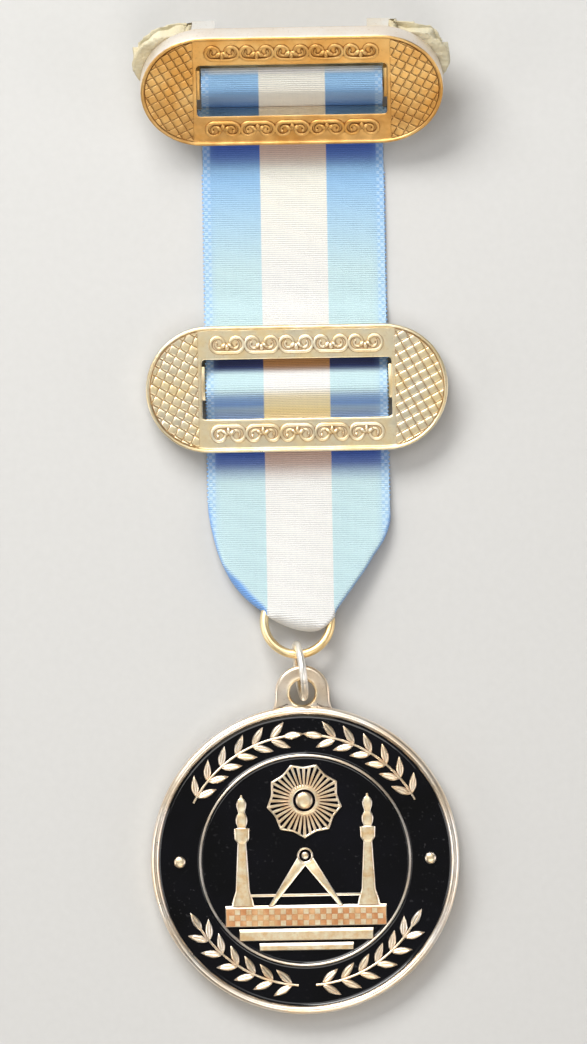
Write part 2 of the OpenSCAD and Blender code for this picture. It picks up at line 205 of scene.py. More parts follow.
# Rings of equally many points, joined into a shell; a loop joins the last ring to the first
def addLoft(shape, rings, loop=False):
    rows = [[shape.verts.new(p) for p in ring] for ring in rings]
    count = len(rows[0])
    for a, b in zip(rows, rows[1:] + rows[:1] if loop else rows[1:]):
        for i in range(count):
            j = (i + 1) % count
            shape.faces.new((a[i], a[j], b[j], b[i]))
    if not loop:
        shape.faces.new(reversed(rows[0]))
        shape.faces.new(rows[-1])


# A shell on an outline, from rows of inset and height
def addInset(shape, outline, rows, loop=False):
    addLoft(shape, [[(*p, h) for p in insetOutline(outline, d)] for d, h in rows], loop)


# A turned shell, from rows of radius and height
def addRound(shape, rows, count, centre=(0, 0), scale=1.0, loop=False):
    addLoft(shape, [[(*p, h) for p in circlePoints(r * scale, count, centre)] for r, h in rows], loop)


# A raised block on an outline, with its upper edge rounded
def addBlock(shape, outline, low, high, bevel):
    soft = bevel * 0.3
    addInset(shape, outline, [(0, low), (0, high - bevel), (soft, high - soft), (bevel, high)])


def addMesh(shape, mesh, move=None, index=0):
    if move:
        mesh.transform(move)
    mesh.polygons.foreach_set("material_index", [index] * len(mesh.polygons))
    shape.from_mesh(mesh)
    bpy.data.meshes.remove(mesh)


# Point of a rounded rectangle, round the origin, in a direction
def edgeAt(length, width, corner, angle):
    c, s = cos(angle), sin(angle)
    ax, ay = abs(c), abs(s)
    halfX, halfY = length / 2, width / 2
    reach = halfX / ax if ax > 1e-9 else 1e9
    if reach * ay > halfY - corner:
        reach = halfY / ay
        if reach * ax > halfX - corner:
            cx, cy = halfX - corner, halfY - corner
            along = ax * cx + ay * cy
            reach = along + sqrt(max(along * along - cx * cx - cy * cy + corner * corner, 0))
    return c * reach, s * reach


millimetres = Matrix.Scale(mm, 4)


def meshOf(name, shape):
    bmesh.ops.recalc_face_normals(shape, faces=shape.faces)
    mesh = bpy.data.meshes.new(name)
    shape.to_mesh(mesh)
    shape.free()
    return mesh


# Turns a shape in millimetres into an object in the frame
def finishPiece(name, shape, place, *materials, sharp=40):
    mesh = meshOf(name, shape)
    mesh.transform(place @ millimetres)
    for material in materials:
        mesh.materials.append(material)
    mesh.polygons.foreach_set("use_smooth", [True] * len(mesh.polygons))
    if sharp:
        mesh.set_sharp_from_angle(angle=radians(sharp))
    return newObject(name, mesh)


def dress(piece, slot, *nodes):
    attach(piece, "root")
    if nodes:
        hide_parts(*nodes)


def helperObject(name, shape):
    return newObject(name, meshOf(name, shape))


def dropHelpers(*helpers):
    for helper in helpers:
        bpy.data.objects.remove(helper)


# Where each casting lies, worked out from the frame's boxes
barSize = {
    "tilt": 33.0,  # degrees, of the brooch bar alone
    "windowLength": 26.2,
    "windowWidth": 8.2,
    "windowCorner": 0.5,
    "face": 2.4,
    "rimTop": 2.7,
    "rimWidth": 0.55,
    "rodRadius": 0.65,
    "lugLength": 0.45,
    "lugTop": 2.2,
    "lugReach": (1.5, 3.2),  # mm below and above the rod
}
discSize = {
    "tilt": 1.706,  # degrees, with the loop raised
    "radius": 21.3,
    "plate": 1.6,
    "rimWidth": 1.15,
    "rimTop": 2.8,
    "sides": 224,
    "fieldRadius": 14.5,
    "lineWidth": 0.5,
    "loopCentre": 23.15,
    "loopRadius": 3.75,
    "holeRadius": 1.75,
    "loopTop": 2.3,
    "figureLow": 1.5,
    "figureTop": 2.45,
    "enamelTop": 2.07,
    "enamelSides": 160,
}


def boxOf(node):
    low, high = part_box(node)
    return Vector(low) / mm, Vector(high) / mm


def placeAt(x, y, z):
    return Matrix.Translation(Vector((x, y, z)) * mm)


def placeBars():
    low, high = boxOf("middle_bar")
    barSize["length"], barSize["width"] = high.x - low.x, high.y - low.y
    middle = placeAt(0, (low.y + high.y) / 2, low.z)
    tilt, half = radians(barSize["tilt"]), barSize["width"] / 2
    low, high = boxOf("top_bar")
    top = placeAt(0, high.y - half * cos(tilt), low.z + half * sin(tilt)) @ Matrix.Rotation(tilt, 4, "X")
    return middle, top


def placeDisc():
    low, high = boxOf("medal")
    tilt, edge = radians(discSize["tilt"]), discSize["rimWidth"] / 2
    far = discSize["radius"] - edge
    y = low.y + edge + far * cos(tilt) + (discSize["rimTop"] - edge) * sin(tilt)
    return placeAt(0, y, far * sin(tilt) + edge * (1 - cos(tilt))) @ Matrix.Rotation(tilt, 4, "X")


middlePlace, topPlace = placeBars()
discPlace = placeDisc()


# The finishes

def mixColour(tree, share, a, b, blend="MIX"):
    return shade(tree, "Mix", {0: share, 6: a, 7: b}, out=2, data_type="RGBA", blend_type=blend)


def noiseOf(tree, place, scale, detail=3.0, roughness=0.55):
    wires = {"Vector": place, "Scale": scale, "Detail": detail, "Roughness": roughness}
    return shade(tree, "TexNoise", wires)


def bump(tree, height, distance):
    return shade(tree, "Bump", {"Height": height, "Distance": distance * mm, "Strength": 1.0})


def newMaterial(name):
    material = bpy.data.materials.new(name)
    material.use_nodes = True
    tree = material.node_tree
    return material, tree, tree.nodes["Principled BSDF"]


def objectPlace(tree):
    return shade(tree, "TexCoord", out="Object")


# Gilt: two tones in soft patches, tarnish in the hollows, a brushed grain
def makeGiltAge():
    outputs = {"Color": "Colour", "Float": "Roughness Height"}
    kinds = {"Vector": "Place", "Color": "Light Deep Tarnish", "Float": "Hollow Share Gloss Grain Patches"}
    group, given = newTree("Shader", "giltAge", outputs, **kinds)
    place = given["Place"]
    patches = remap(group, noiseOf(group, place, given["Patches"]), 0.35, 0.65)
    tone = mixColour(group, patches, given["Light"], given["Deep"])
    specks = remap(group, noiseOf(group, place, 2600.0, 2.0), 0.58, 0.72)
    tinted = mul(group, given["Hollow"], given["Share"])
    dark = larger(group, tinted, mul(group, specks, 0.18))
    stretched = shade(group, "Mapping", {"Vector": place, "Scale": (0.25, 3.0, 1.0)})
    uneven = noiseOf(group, place, 420.0, 4.0)
    rough = mulAdd(group, tinted, 0.35, mulAdd(group, uneven, 0.22, given["Gloss"]))
    grain = mul(group, noiseOf(group, stretched, 2200.0, 2.0), given["Grain"])
    newNode(group, "NodeGroupOutput", {
        "Colour": mixColour(group, dark, tone, given["Tarnish"]),
        "Roughness": sub(group, rough, 0.08),
        "Height": mulAdd(group, uneven, 0.6, grain),
    })
    return group


giltAge = makeGiltAge()

# Light tone, deep tone, tarnish and its share; then how far a hollow is felt in mm, the openness below
# which it is full and above which it is gone; then gloss, grain, bump in mm and scale of the patches
giltLooks = {
    # The deep tones, for the brooch bar, are darker and more orange than the pale ones: partly the bar's own
    # deeper gilt, partly painted shade for its face turned from the light
    "deepGilt": (
        (0.86, 0.58, 0.24), (0.74, 0.41, 0.12), (0.28, 0.10, 0.02), 0.8,
        (0.35, 0.45, 0.88), 0.36, 0.5, 0.012, 220.0,
    ),
    "paleGilt": (
        (0.86, 0.77, 0.56), (0.80, 0.64, 0.36), (0.40, 0.18, 0.05), 0.6,
        (0.35, 0.45, 0.88), 0.30, 0.7, 0.014, 420.0,
    ),
    "deepScroll": (
        (0.88, 0.60, 0.25), (0.74, 0.41, 0.12), (0.26, 0.08, 0.01), 0.9,
        (0.5, 0.5, 0.95), 0.40, 0.4, 0.012, 160.0,
    ),
    "paleScroll": (
        (0.90, 0.82, 0.62), (0.80, 0.62, 0.34), (0.32, 0.12, 0.02), 0.9,
        (0.5, 0.5, 0.95), 0.34, 0.4, 0.012, 160.0,
    ),
    "roseGilt": (
        (0.96, 0.90, 0.81), (0.94, 0.77, 0.57), (0.40, 0.15, 0.04), 0.7,
        (0.5, 0.2, 0.9), 0.28, 0.4, 0.016, 160.0,
    ),
    "figureGilt": (
        (0.86, 0.77, 0.56), (0.76, 0.54, 0.29), (0.40, 0.17, 0.05), 0.5,
        (0.4, 0.2, 0.8), 0.36, 0.5, 0.020, 900.0,
    ),
    "agedGilt": (
        (0.80, 0.50, 0.26), (0.62, 0.28, 0.12), (0.20, 0.08, 0.03), 0.6,
        (0.4, 0.2, 0.8), 0.42, 0.5, 0.020, 500.0,
    ),
    # The outer walls' gilt is paler and whiter than the faces': a painted highlight for walls that face the
    # light
    "sideHighlightGilt": (
        (0.88, 0.84, 0.79), (0.86, 0.78, 0.68), (0.40, 0.22, 0.10), 0.3,
        (0.4, 0.1, 0.5), 0.50, 0.4, 0.010, 160.0,
    ),
    "wallGilt": (
        (0.90, 0.84, 0.74), (0.84, 0.74, 0.58), (0.16, 0.09, 0.04), 0.4,
        (0.4, 0.1, 0.5), 0.04, 0.3, 0.010, 160.0,
    ),
    "wireGilt": (
        (0.99, 0.82, 0.50), (0.96, 0.70, 0.34), (0.40, 0.16, 0.04), 0.5,
        (0.5, 0.2, 0.8), 0.36, 0.2, 0.006, 160.0,
    ),
    "wireSilver": (
        (0.96, 0.95, 0.92), (0.94, 0.86, 0.72), (0.40, 0.24, 0.10), 0.4,
        (0.5, 0.2, 0.8), 0.36, 0.2, 0.004, 160.0,
    ),
}
# Heights on the page in mm between which the brooch bar's gilt is painted darker towards its lower rail:
# painted shade, laid in through the tarnish
lowerRailShade = (60, 54)


def giltMaterial(name, light, deep, tarnish, share, felt, gloss, grain, relief, patches):
    material, tree, shader = newMaterial(name)
    place = objectPlace(tree)
    far, full, gone = felt
    openness = shade(tree, "AmbientOcclusion", {"Distance": far * mm}, out="AO", only_local=True, samples=6)
    hollow = remap(tree, openness, full, gone, 1.0, 0.0, True)
    # The brooch bar's lower rail is painted darker in cloudy patches through the tarnish: painted shade, as
    # the light falls from above the bar
    if name == "deepGilt":
        height = shade(tree, "SeparateXYZ", {0: place}, out=1)
        clouds = remap(tree, noiseOf(tree, place, 500.0), 0.3, 0.6)
        paintedShade = remap(tree, height, lowerRailShade[0] * mm, lowerRailShade[1] * mm, 0.0, 0.42)
        hollow = larger(tree, hollow, mul(tree, paintedShade, clouds))
    aged = newNode(tree, "ShaderNodeGroup", {
        "Place": place,
        "Hollow": hollow,
        "Light": light,
        "Deep": deep,
        "Tarnish": tarnish,
        "Share": share,
        "Gloss": gloss,
        "Grain": grain,
        "Patches": patches,
    }, node_tree=giltAge).outputs
    setInputs(tree, shader, {
        "Base Color": aged["Colour"],
        "Roughness": aged["Roughness"],
        "Normal": bump(tree, aged["Height"], relief),
        "Metallic": 1.0,
    })
    return material


gilt = {name: giltMaterial(name, *look) for name, look in giltLooks.items()}


def enamelMaterial():
    material, tree, shader = newMaterial("blackEnamel")
    place = objectPlace(tree)
    specks = remap(tree, noiseOf(tree, place, 1900.0, 1.0), 0.66, 0.74)
    drift = remap(tree, noiseOf(tree, place, 120.0), 0.4, 0.7)
    dust = mul(tree, mul(tree, specks, drift), 0.09)
    depth = remap(tree, noiseOf(tree, place, 90.0), 0.3, 0.7)
    colour = mixColour(tree, depth, (0.002, 0.002, 0.002), (0.004, 0.004, 0.006))
    setInputs(tree, shader, {
        "Base Color": mixColour(tree, dust, colour, (0.25, 0.25, 0.26)),
        "Roughness": mulAdd(tree, dust, 0.5, 0.07),
        "Normal": bump(tree, noiseOf(tree, place, 260.0, 2.0), 0.05),
    })
    return material


# Woven ribs across the ribbon and its fine warp, from a map in millimetres: height, and a tone of streaks in
# the thread with painted shade that lightens the raised ribs
def weaveOf(tree, flat, rib, thread):
    across, along = newNode(tree, "ShaderNodeSeparateXYZ", {0: flat}).outputs[:2]
    beat = mulAdd(tree, noiseOf(tree, flat, 1.6, 2.0), 2.4, mul(tree, along, 2 * pi / rib))
    ribs = mulAdd(tree, sine(tree, beat), 0.5, 0.5)
    shifted = mulAdd(tree, wholePart(tree, div(tree, beat, 2 * pi)), pi, mul(tree, across, 2 * pi / thread))
    warp = mulAdd(tree, sine(tree, shifted), 0.5, 0.5)
    height = mulAdd(tree, warp, 0.35, ribs)
    streaks = shade(tree, "Mapping", {"Vector": flat, "Scale": (3.2, 0.12, 1)})
    return height, mulAdd(tree, noiseOf(tree, streaks, 1.0), 0.5, mul(tree, height, 0.3))


# A mask along the jewel, from pairs of height on the page in mm and value
def reachMask(tree, height, stops):
    low, high = -20.0, 70.0
    ramp = newNode(tree, "ShaderNodeValToRGB", {"Fac": remap(tree, height, low * mm, high * mm)})
    marks = ramp.color_ramp.elements
    marks.remove(marks[1])
    for i, (y, value) in enumerate(stops):
        spot = (y - low) / (high - low)
        mark = marks.new(spot) if i else marks[0]
        mark.position, mark.color = spot, (value, value, value, 1)
    return ramp.outputs["Color"]


# The weave in mm; reaches are measured from the ribbon's middle line
weaveLook = {
    "rib": 0.29,
    "thread": 0.21,
    "stripe": (4.60, 4.72),
    "border": (10.4, 12.4),
    "selvedge": (11.35, 11.6),
    "columns": 11.45,
    "loopPitch": 0.95,
    "columnPitch": 0.9,
}
# Painted light on the cloth: over its base tones of blue and white, each tone below paints a shadow, shade or
# highlight where its mask lies along the jewel
baseCloth = (0.50, 0.68, 0.72), (0.76, 0.76, 0.74)
paintedClothLight = {
    # Painted shade: the ribbon rising to the brooch bar is turned from the light and painted deeper
    "upper": ((0.27, 0.49, 0.76), (0.80, 0.79, 0.71), [(34, 0), (47, 1)]),
    # Painted shade on the underside of the roll in the slide bar's window
    "rollUnderShade": ((0.27, 0.38, 0.52), (0.80, 0.66, 0.32), [(8.0, 0), (9.0, 1), (14.6, 1), (16.2, 0.7), (17.7, 0)]),
    # Painted cast shadow on the cloth below each bar and at the edges of the windows
    "barShadow": ((0.04, 0.10, 0.44), (0.60, 0.42, 0.36), [
        (4.8, 0), (6.2, 0.35), (7.4, 0.85), (8.9, 1), (13.4, 0.4), (15.0, 0), (19.9, 0), (20.8, 1),
        (26.0, 1), (26.4, 0), (47.9, 0), (49.8, 0.8), (51.2, 1), (54.8, 0.6), (55.6, 0),
    ]),
    "shaded": ((0.02, 0.03, 0.12), (0.50, 0.24, 0.08), [(20.2, 0), (20.9, 1), (23.0, 1), (24.0, 0)]),
    # Painted highlight on the crest of the roll in the brooch bar's window
    "crestSheen": ((0.80, 0.87, 0.92), (0.94, 0.94, 0.94), [(60.9, 0), (61.4, 1)]),
    # Painted shade on the roll in the brooch bar's window, below its crest
    "foot": ((0.07, 0.19, 0.48), (0.98, 0.90, 0.76), [(52.0, 0), (53.0, 1), (56.6, 0.95), (59.4, 0)]),
    # Painted shade low in the slide bar's window, with a painted warm reflection of the gilt on the white
    "deep": ((0.06, 0.22, 0.66), (0.84, 0.74, 0.48), [(14.9, 0), (15.5, 0.6), (16.4, 0.45), (17.2, 0)]),
}


def ribbonMaterial():
    material, tree, shader = newMaterial("ribbonCloth")
    flat = shade(tree, "Mapping", {"Vector": shade(tree, "UVMap", uv_map="cloth"), "Scale": (100, 100, 1)})
    height, tone = weaveOf(tree, flat, weaveLook["rib"], weaveLook["thread"])
    across, along = newNode(tree, "ShaderNodeSeparateXYZ", {0: flat}).outputs[:2]
    fromMiddle = absolute(tree, sub(tree, across, 50.0))
    stripe = remap(tree, mulAdd(tree, tone, 0.16, fromMiddle), *weaveLook["stripe"])
    page = shade(tree, "SeparateXYZ", {0: objectPlace(tree)}, out=1)
    blue, white = baseCloth
    # Each tone paints its light or shade into the blue and the white where its mask reaches
    for paintedBlue, tinted, stops in paintedClothLight.values():
        share = reachMask(tree, page, stops)
        blue, white = mixColour(tree, share, blue, paintedBlue), mixColour(tree, share, white, tinted)
    # The weave's tone scales the colour: streaks in the thread, and painted shade darker in the hollows
    # between the ribs
    ribAndStreakShare = remap(tree, mulAdd(tree, height, 0.55, tone), 0.3, 1.3)
    ribShadeAndStreaks = mixColour(tree, ribAndStreakShare, (0.80, 0.81, 0.84), (1.06, 1.05, 1.03))
    blue, white = (mixColour(tree, 1.0, one, ribShadeAndStreaks, "MULTIPLY") for one in (blue, white))
    border = remap(tree, fromMiddle, *weaveLook["border"], smooth=True)
    blue = mixColour(tree, mul(tree, border, 0.3), blue, (0.22, 0.42, 0.76))
    # Selvedge: light loops of weft over deep blue, in two columns
    beat = sine(tree, mul(tree, along, 2 * pi / weaveLook["loopPitch"]))
    outward = sub(tree, fromMiddle, weaveLook["columns"])
    column = sine(tree, mul(tree, outward, 2 * pi / weaveLook["columnPitch"]))
    loops = remap(tree, mul(tree, beat, column), -0.25, 0.35)
    laced = mixColour(tree, loops, (0.26, 0.48, 0.78), (0.62, 0.78, 0.92))
    selvedge = mul(tree, remap(tree, fromMiddle, *weaveLook["selvedge"]), 0.4)
    blue = mixColour(tree, selvedge, blue, laced)
    # The rolled-under edges are painted a deeper, stronger blue: painted shade where the cloth turns away
    # from the light
    rolled = shade(tree, "Attribute", out="Fac", attribute_name="rolled")
    blue = mixColour(tree, mul(tree, rolled, 0.9), blue, (0.14, 0.34, 0.78))
    setInputs(tree, shader, {
        "Base Color": mixColour(tree, stripe, white, blue),
        "Normal": bump(tree, height, 0.07),
        "Roughness": 0.62,
        "Sheen Weight": 0.25,
        "Sheen Roughness": 0.4,
        "Specular IOR Level": 0.35,
    })
    return material


def foamMaterial():
    material, tree, shader = newMaterial("creamFoam")
    place = objectPlace(tree)
    pores = shade(tree, "TexVoronoi", {"Vector": place, "Scale": 2600.0}, out="Distance")
    lumps = noiseOf(tree, place, 700.0, 5.0)
    stain = remap(tree, noiseOf(tree, place, 130.0), 0.35, 0.7)
    colour = mixColour(tree, stain, (0.59, 0.55, 0.41), (0.50, 0.42, 0.26))
    deep = remap(tree, lumps, 0.25, 0.5, 1.0, 0.0)
    setInputs(tree, shader, {
        "Base Color": mixColour(tree, mul(tree, deep, 0.2), colour, (0.52, 0.42, 0.22)),
        "Normal": bump(tree, mulAdd(tree, pores, 0.5, lumps), 0.10),
        "Roughness": 0.95,
        "Specular IOR Level": 0.2,
        "Subsurface Weight": 0.15,
        "Subsurface Radius": (0.0010, 0.0008, 0.0005),
    })
    return material


blackEnamel, ribbonCloth, creamFoam = enamelMaterial(), ribbonMaterial(), foamMaterial()
print("finishes ready")


# The two bars: one casting, used twice

pillowLook = {
    "pitch": 1.22,
    "slant": 28.0,
    "count": 17,
    "bottom": 0.60,
    "top": 0.50,
    "height": 0.15,
    "cornerCut": 0.16,
    "start": 0.55,
    "margin": 0.66,
}
# These are the labels of the scroll tree's inputs
scrollLook = {
    "Count": 5,
    "Pitch": 4.78,
    "Lobe": 1.06,
    "Line": 0.26,
    "Curl": 0.80,
    "Flute": 0.62,
    "Flat": 0.85,
}


# Directions in which the plate's rings have their points: close together where an outline bends
def barDirections():
    half, corner = barSize["width"] / 2, barSize["windowCorner"]
    points = []
    for side in (-1, 1):
        ends = (polar(half, a, (barSize["length"] / 2 - half, 0)) for a in arc(-90, 90, 24))
        points += [(side * x, y) for x, y in ends]
        points += [(i * 2.0, side * half) for i in range(-5, 6)]
        centre = (barSize["windowLength"] / 2 - corner, barSize["windowWidth"] / 2 - corner)
        for up in (-1, 1):
            points += [(side * x, up * y) for x, y in (polar(corner, a, centre) for a in arc(0, 90, 5))]
    angles = sorted(atan2(y, x) for x, y in points)
    return [a for i, a in enumerate(angles) if i == 0 or a - angles[i - 1] > 0.002]


# Whether a point lies on the rim's inner side, not on the outer wall
def insideRim(point):
    half = barSize["width"] / 2
    across = max(abs(point.x) - (barSize["length"] / 2 - half), 0)
    return hypot(across, point.y) < half - 0.3


def addPlate(shape):
    face, rim, rimWidth = barSize["face"], barSize["rimTop"], barSize["rimWidth"]
    outer = [
        (0.40, 0), (0.14, 0), (0.04, 0.04), (0, 0.14), (0, 1.2), (0, rim - 0.28), (0.03, rim - 0.15),
        (0.10, rim - 0.05), (0.20, rim - 0.01), (0.30, rim), (0.40, rim - 0.02), (0.48, rim - 0.09),
        (rimWidth, rim - 0.2), (rimWidth + 0.02, face + 0.02), (rimWidth + 0.06, face),
        (rimWidth + 0.2, face),
    ]
    window = [
        (0.35, face), (0.16, face), (0.07, face - 0.02), (0.02, face - 0.07), (0, face - 0.16), (0, 1.2),
        (0, 0.12), (0.03, 0.03), (0.12, 0), (0.4, 0),
    ]
    rings = []
    for rows, length, width, corner in (
        ([(-inset, h) for inset, h in outer], barSize["length"], barSize["width"], barSize["width"] / 2),
        (window, barSize["windowLength"], barSize["windowWidth"], barSize["windowCorner"]),
    ):
        for grow, h in rows:
            size = (length + 2 * grow, width + 2 * grow, corner + grow)
            rings.append([(*edgeAt(*size, a), h) for a in directions])
    addLoft(shape, rings, loop=True)
    # The window's walls are 2, the outer walls 1, and the rim's inner side stays as the face is
    shape.normal_update()
    reachX, reachY = barSize["windowLength"] / 2 + 0.1, barSize["windowWidth"] / 2 + 0.1
    for wall in shape.faces:
        middle = wall.calc_center_median()
        if abs(wall.normal.z) < 0.35 and 0.1 < middle.z < rim - 0.2:
            inside = abs(middle.y) < reachY and abs(middle.x) < reachX
            wall.material_index = 2 if inside else 0 if middle.z > face + 0.02 and insideRim(middle) else 1


def pillowUnit():
    unit = bmesh.new()
    bottom, top, height = pillowLook["bottom"], pillowLook["top"], pillowLook["height"]
    rings = []
    for half, h in (
        (bottom, -0.12), (bottom, 0.0), ((bottom + top) / 2 + 0.02, height * 0.6),
        (top + 0.02, height * 0.88), (top - 0.1, height * 0.97), (top * 0.4, height),
    ):
        cut = half * (1 - pillowLook["cornerCut"])
        rings.append([
            (half, -cut, h), (half, cut, h), (cut, half, h), (-cut, half, h),
            (-half, cut, h), (-half, -cut, h), (-cut, -half, h), (cut, -half, h),
        ])
    addLoft(unit, rings)
    return helperObject("pillowUnit", unit)


# The space that the pillows fill at the right-hand end
def pillowRegion():
    region = bmesh.new()
    radius = barSize["width"] / 2 - pillowLook["margin"]
    centre = (barSize["length"] - barSize["width"]) / 2
    reach = acos((barSize["windowLength"] / 2 + pillowLook["start"] - centre) / radius)
    outline = [polar(radius, reach * (i / 16 - 1), (centre, 0)) for i in range(33)]
    addLoft(region, [[(*p, barSize["face"] + h) for p in outline] for h in (-0.1, 0.6)])
    return helperObject("pillowRegion", region)


def makePillowTree():
    tree, given = geometryTree(
        "pillowField",
        Object="Pillow Region",
        Int="Count",
        Float="Pitch Slant",
        Vector="Middle",
        Material="Material",
    )
    count = given["Count"]
    span = mul(tree, given["Pitch"], sub(tree, count, 1.0))
    grid = geo(tree, "MeshGrid", {"Size X": span, "Size Y": span, "Vertices X": count, "Vertices Y": count})
    laid = instances(tree, grid, shapeOf(tree, given["Pillow"]))
    slanted = geo(tree, "Transform", {
        0: geo(tree, "RealizeInstances", {0: laid}),
        "Translation": given["Middle"],
        "Rotation": vector(tree, z=given["Slant"]),
    })
    kept = geo(tree, "MeshBoolean", {1: [slanted, shapeOf(tree, given["Region"])]}, operation="INTERSECT")
    closeTree(tree, kept, given["Material"])
    return tree


def makeScrollTree():
    tree, given = geometryTree(
        "railScrolls", Int="Count", Float="Pitch Rail Lobe Line Curl Flute Flat Face", Material="Material")
    steps = 64
    path = geo(tree, "MeshToCurve", {0: geo(tree, "MeshLine", {"Count": steps})})
    index = geo(tree, "InputIndex")
    share = div(tree, index, steps - 1.0)
    # From the middle along the window side, then round the lobe and inwards
    angle = remap(tree, share, 0.1, 1.0, radians(-90), radians(410))
    closing = remap(tree, share, 0.38, 1.0)
    radius = mul(tree, given["Lobe"], sub(tree, 1.0, mul(tree, closing, given["Curl"])))
    centre = sub(tree, mul(tree, given["Pitch"], 0.5), add(tree, given["Lobe"], 0.12))
    x = mulAdd(tree, cosine(tree, angle), radius, mul(tree, centre, remap(tree, share, 0.0, 0.1)))
    y = mulAdd(tree, sine(tree, angle), radius, mul(tree, closing, 0.16))
    spiral = geo(tree, "SetPosition", {0: path, "Position": vector(tree, x, y)})
    swell = add(tree, remap(tree, share, 0.3, 0.85, 1.0, 0.68), remap(tree, share, 0.92, 1.0, 0.0, 0.6))
    tube = tubeAlong(tree, spiral, 8, mul(tree, given["Line"], swell))
    other = geo(tree, "Transform", {0: tube, "Scale": (-1, 1, 1)})
    # Three lobes fan out below the curls
    fan = mul(tree, sub(tree, index, 1.0), radians(52))
    foot = vector(tree, mul(tree, sine(tree, fan), 0.62), sub(tree, 0.22, mul(tree, cosine(tree, fan), 0.62)))
    seeds = geo(tree, "MeshLine", {"Count": 3})
    roots = geo(tree, "SetPosition", {0: seeds, "Position": foot})
    flute = geo(tree, "Transform", {0: ball(tree, 8, 6), "Scale": (0.36, 1.0, 0.40)})
    size = vector(tree, 1.0, given["Flute"], 1.0)
    flutes = instances(tree, roots, flute, Rotation=vector(tree, z=fan), Scale=size)
    full = geo(tree, "JoinGeometry", {0: [tube, other, flutes]})
    motif = geo(tree, "Transform", {0: full, "Scale": vector(tree, 1.0, 1.0, given["Flat"])})
    first = mul(tree, given["Pitch"], mul(tree, sub(tree, given["Count"], 1.0), -0.5))
    rails = []
    for up, turn in ((1.0, 0), (-1.0, pi)):
        row = geo(tree, "MeshLine", {
            "Count": given["Count"],
            "Start Location": vector(tree, first, mul(tree, given["Rail"], up), given["Face"]),
            "Offset": vector(tree, given["Pitch"]),
        })
        rails.append(instances(tree, row, motif, Rotation=(0, 0, turn)))
    closeTree(tree, geo(tree, "JoinGeometry", {0: rails}), given["Material"])
    return tree


def addRod(shape):
    radius, half = barSize["rodRadius"], barSize["windowLength"] / 2 + 0.3
    addLoft(shape, [[(x, y, radius + z) for y, z in circlePoints(radius, 28)] for x in (-half, half)])


def addLugs(shape, up):
    low, high = sorted((-barSize["lugReach"][0] * up, barSize["lugReach"][1] * up))
    half = barSize["windowLength"] / 2
    for side in (-1, 1):
        left, right = sorted((side * (half - barSize["lugLength"]), side * (half + 0.3)))
        addBlock(shape, rectanglePoints(left, right, low, high), 0.05, barSize["lugTop"], 0.15)


def makeBar(name, place, turned, tone, trees):
    face, scroll = gilt[tone + "Gilt"], gilt[tone + "Scroll"]
    shape = bmesh.new()
    addPlate(shape)
    addRod(shape)
    addLugs(shape, -1 if turned else 1)
    pillowTree, scrollTree, pillow, region = trees
    for side in (1, -1):
        pillows = runTree(
            pillowTree,
            Pillow=pillow,
            Region=region,
            Pitch=pillowLook["pitch"],
            Slant=radians(pillowLook["slant"]),
            Count=pillowLook["count"],
            Middle=((barSize["length"] + barSize["windowLength"]) / 4 + 0.1, 0.0, barSize["face"]),
            Material=face,
        )
        addMesh(shape, pillows, Matrix.Diagonal((side, 1, 1, 1)))
    rail = (barSize["windowWidth"] / 2 + barSize["width"] / 2 - barSize["rimWidth"]) / 2
    height = barSize["face"] + 0.06
    scrolls = runTree(scrollTree, **scrollLook, Rail=rail, Face=height, Material=scroll)
    addMesh(shape, scrolls, index=3)
    if turned:
        place = place @ Matrix.Rotation(pi, 4, "Z")
    # The outer walls take a paler, whiter gilt: painted highlight
    piece = finishPiece(name, shape, place, face, gilt["sideHighlightGilt"], gilt["wallGilt"], scroll)
    dress(piece, tone + "_gilt", name.replace("Casting", "_bar"))


directions = barDirections()
barTools = (makePillowTree(), makeScrollTree(), pillowUnit(), pillowRegion())
makeBar("middleCasting", middlePlace, False, "pale", barTools)
# The brooch bar's deeper, more orange gilt is partly painted shade for its face turned from the light
makeBar("topCasting", topPlace, True, "deep", barTools)
dropHelpers(*barTools[2:])
print("bars ready")


# The disc: a turned casting with its loop, raised figures and black enamel between them

leafLook = {
    "length": 2.9,
    "width": 1.05,
    "angle": 36.0,  # degrees between a leaf and its stem
    "pairs": 6,
    "sweep": 58.0,
    "starts": (-86.0, 28.0),  # where the lower and the upper sprays begin, in degrees
}
sunLook = {
    "rays": 36,
    "points": 9,
    "height": 0.57,  # this and the next three are shares of the field's radius
    "hub": 0.118,
    "tip": 0.364,
    "hollow": 0.042,
    "edge": 0.34,
    "ray": (0.14, 0.20),  # half widths in mm at its start and end
}
pavementLook = {"Columns": 27, "Rows": 3, "Square": 0.79}
field, figureLow, figureTop = discSize["fieldRadius"], discSize["figureLow"], discSize["figureTop"]
bandMiddle = (field + discSize["radius"] - discSize["rimWidth"]) / 2
pillarX = 0.6 * field


def addDiscBody(shape):
    edge = discSize["rimWidth"] / 2
    ring, top = discSize["radius"] - edge, discSize["rimTop"] - edge
    profile = [(0.05, 0.0), (ring * 0.6, 0.0), (ring - 0.3, 0.0)]
    profile += [(ring + edge * sin(a), edge - edge * cos(a)) for a in arc(0, 90, 6)]
    profile += [(ring + edge * cos(a), top + edge * sin(a)) for a in arc(0, 180, 12)]
    inner, plate = ring - edge, discSize["plate"]
    profile += [(inner - 0.02, plate + 0.1), (inner - 0.1, plate), (0.05, plate)]
    addRound(shape, profile, discSize["sides"])


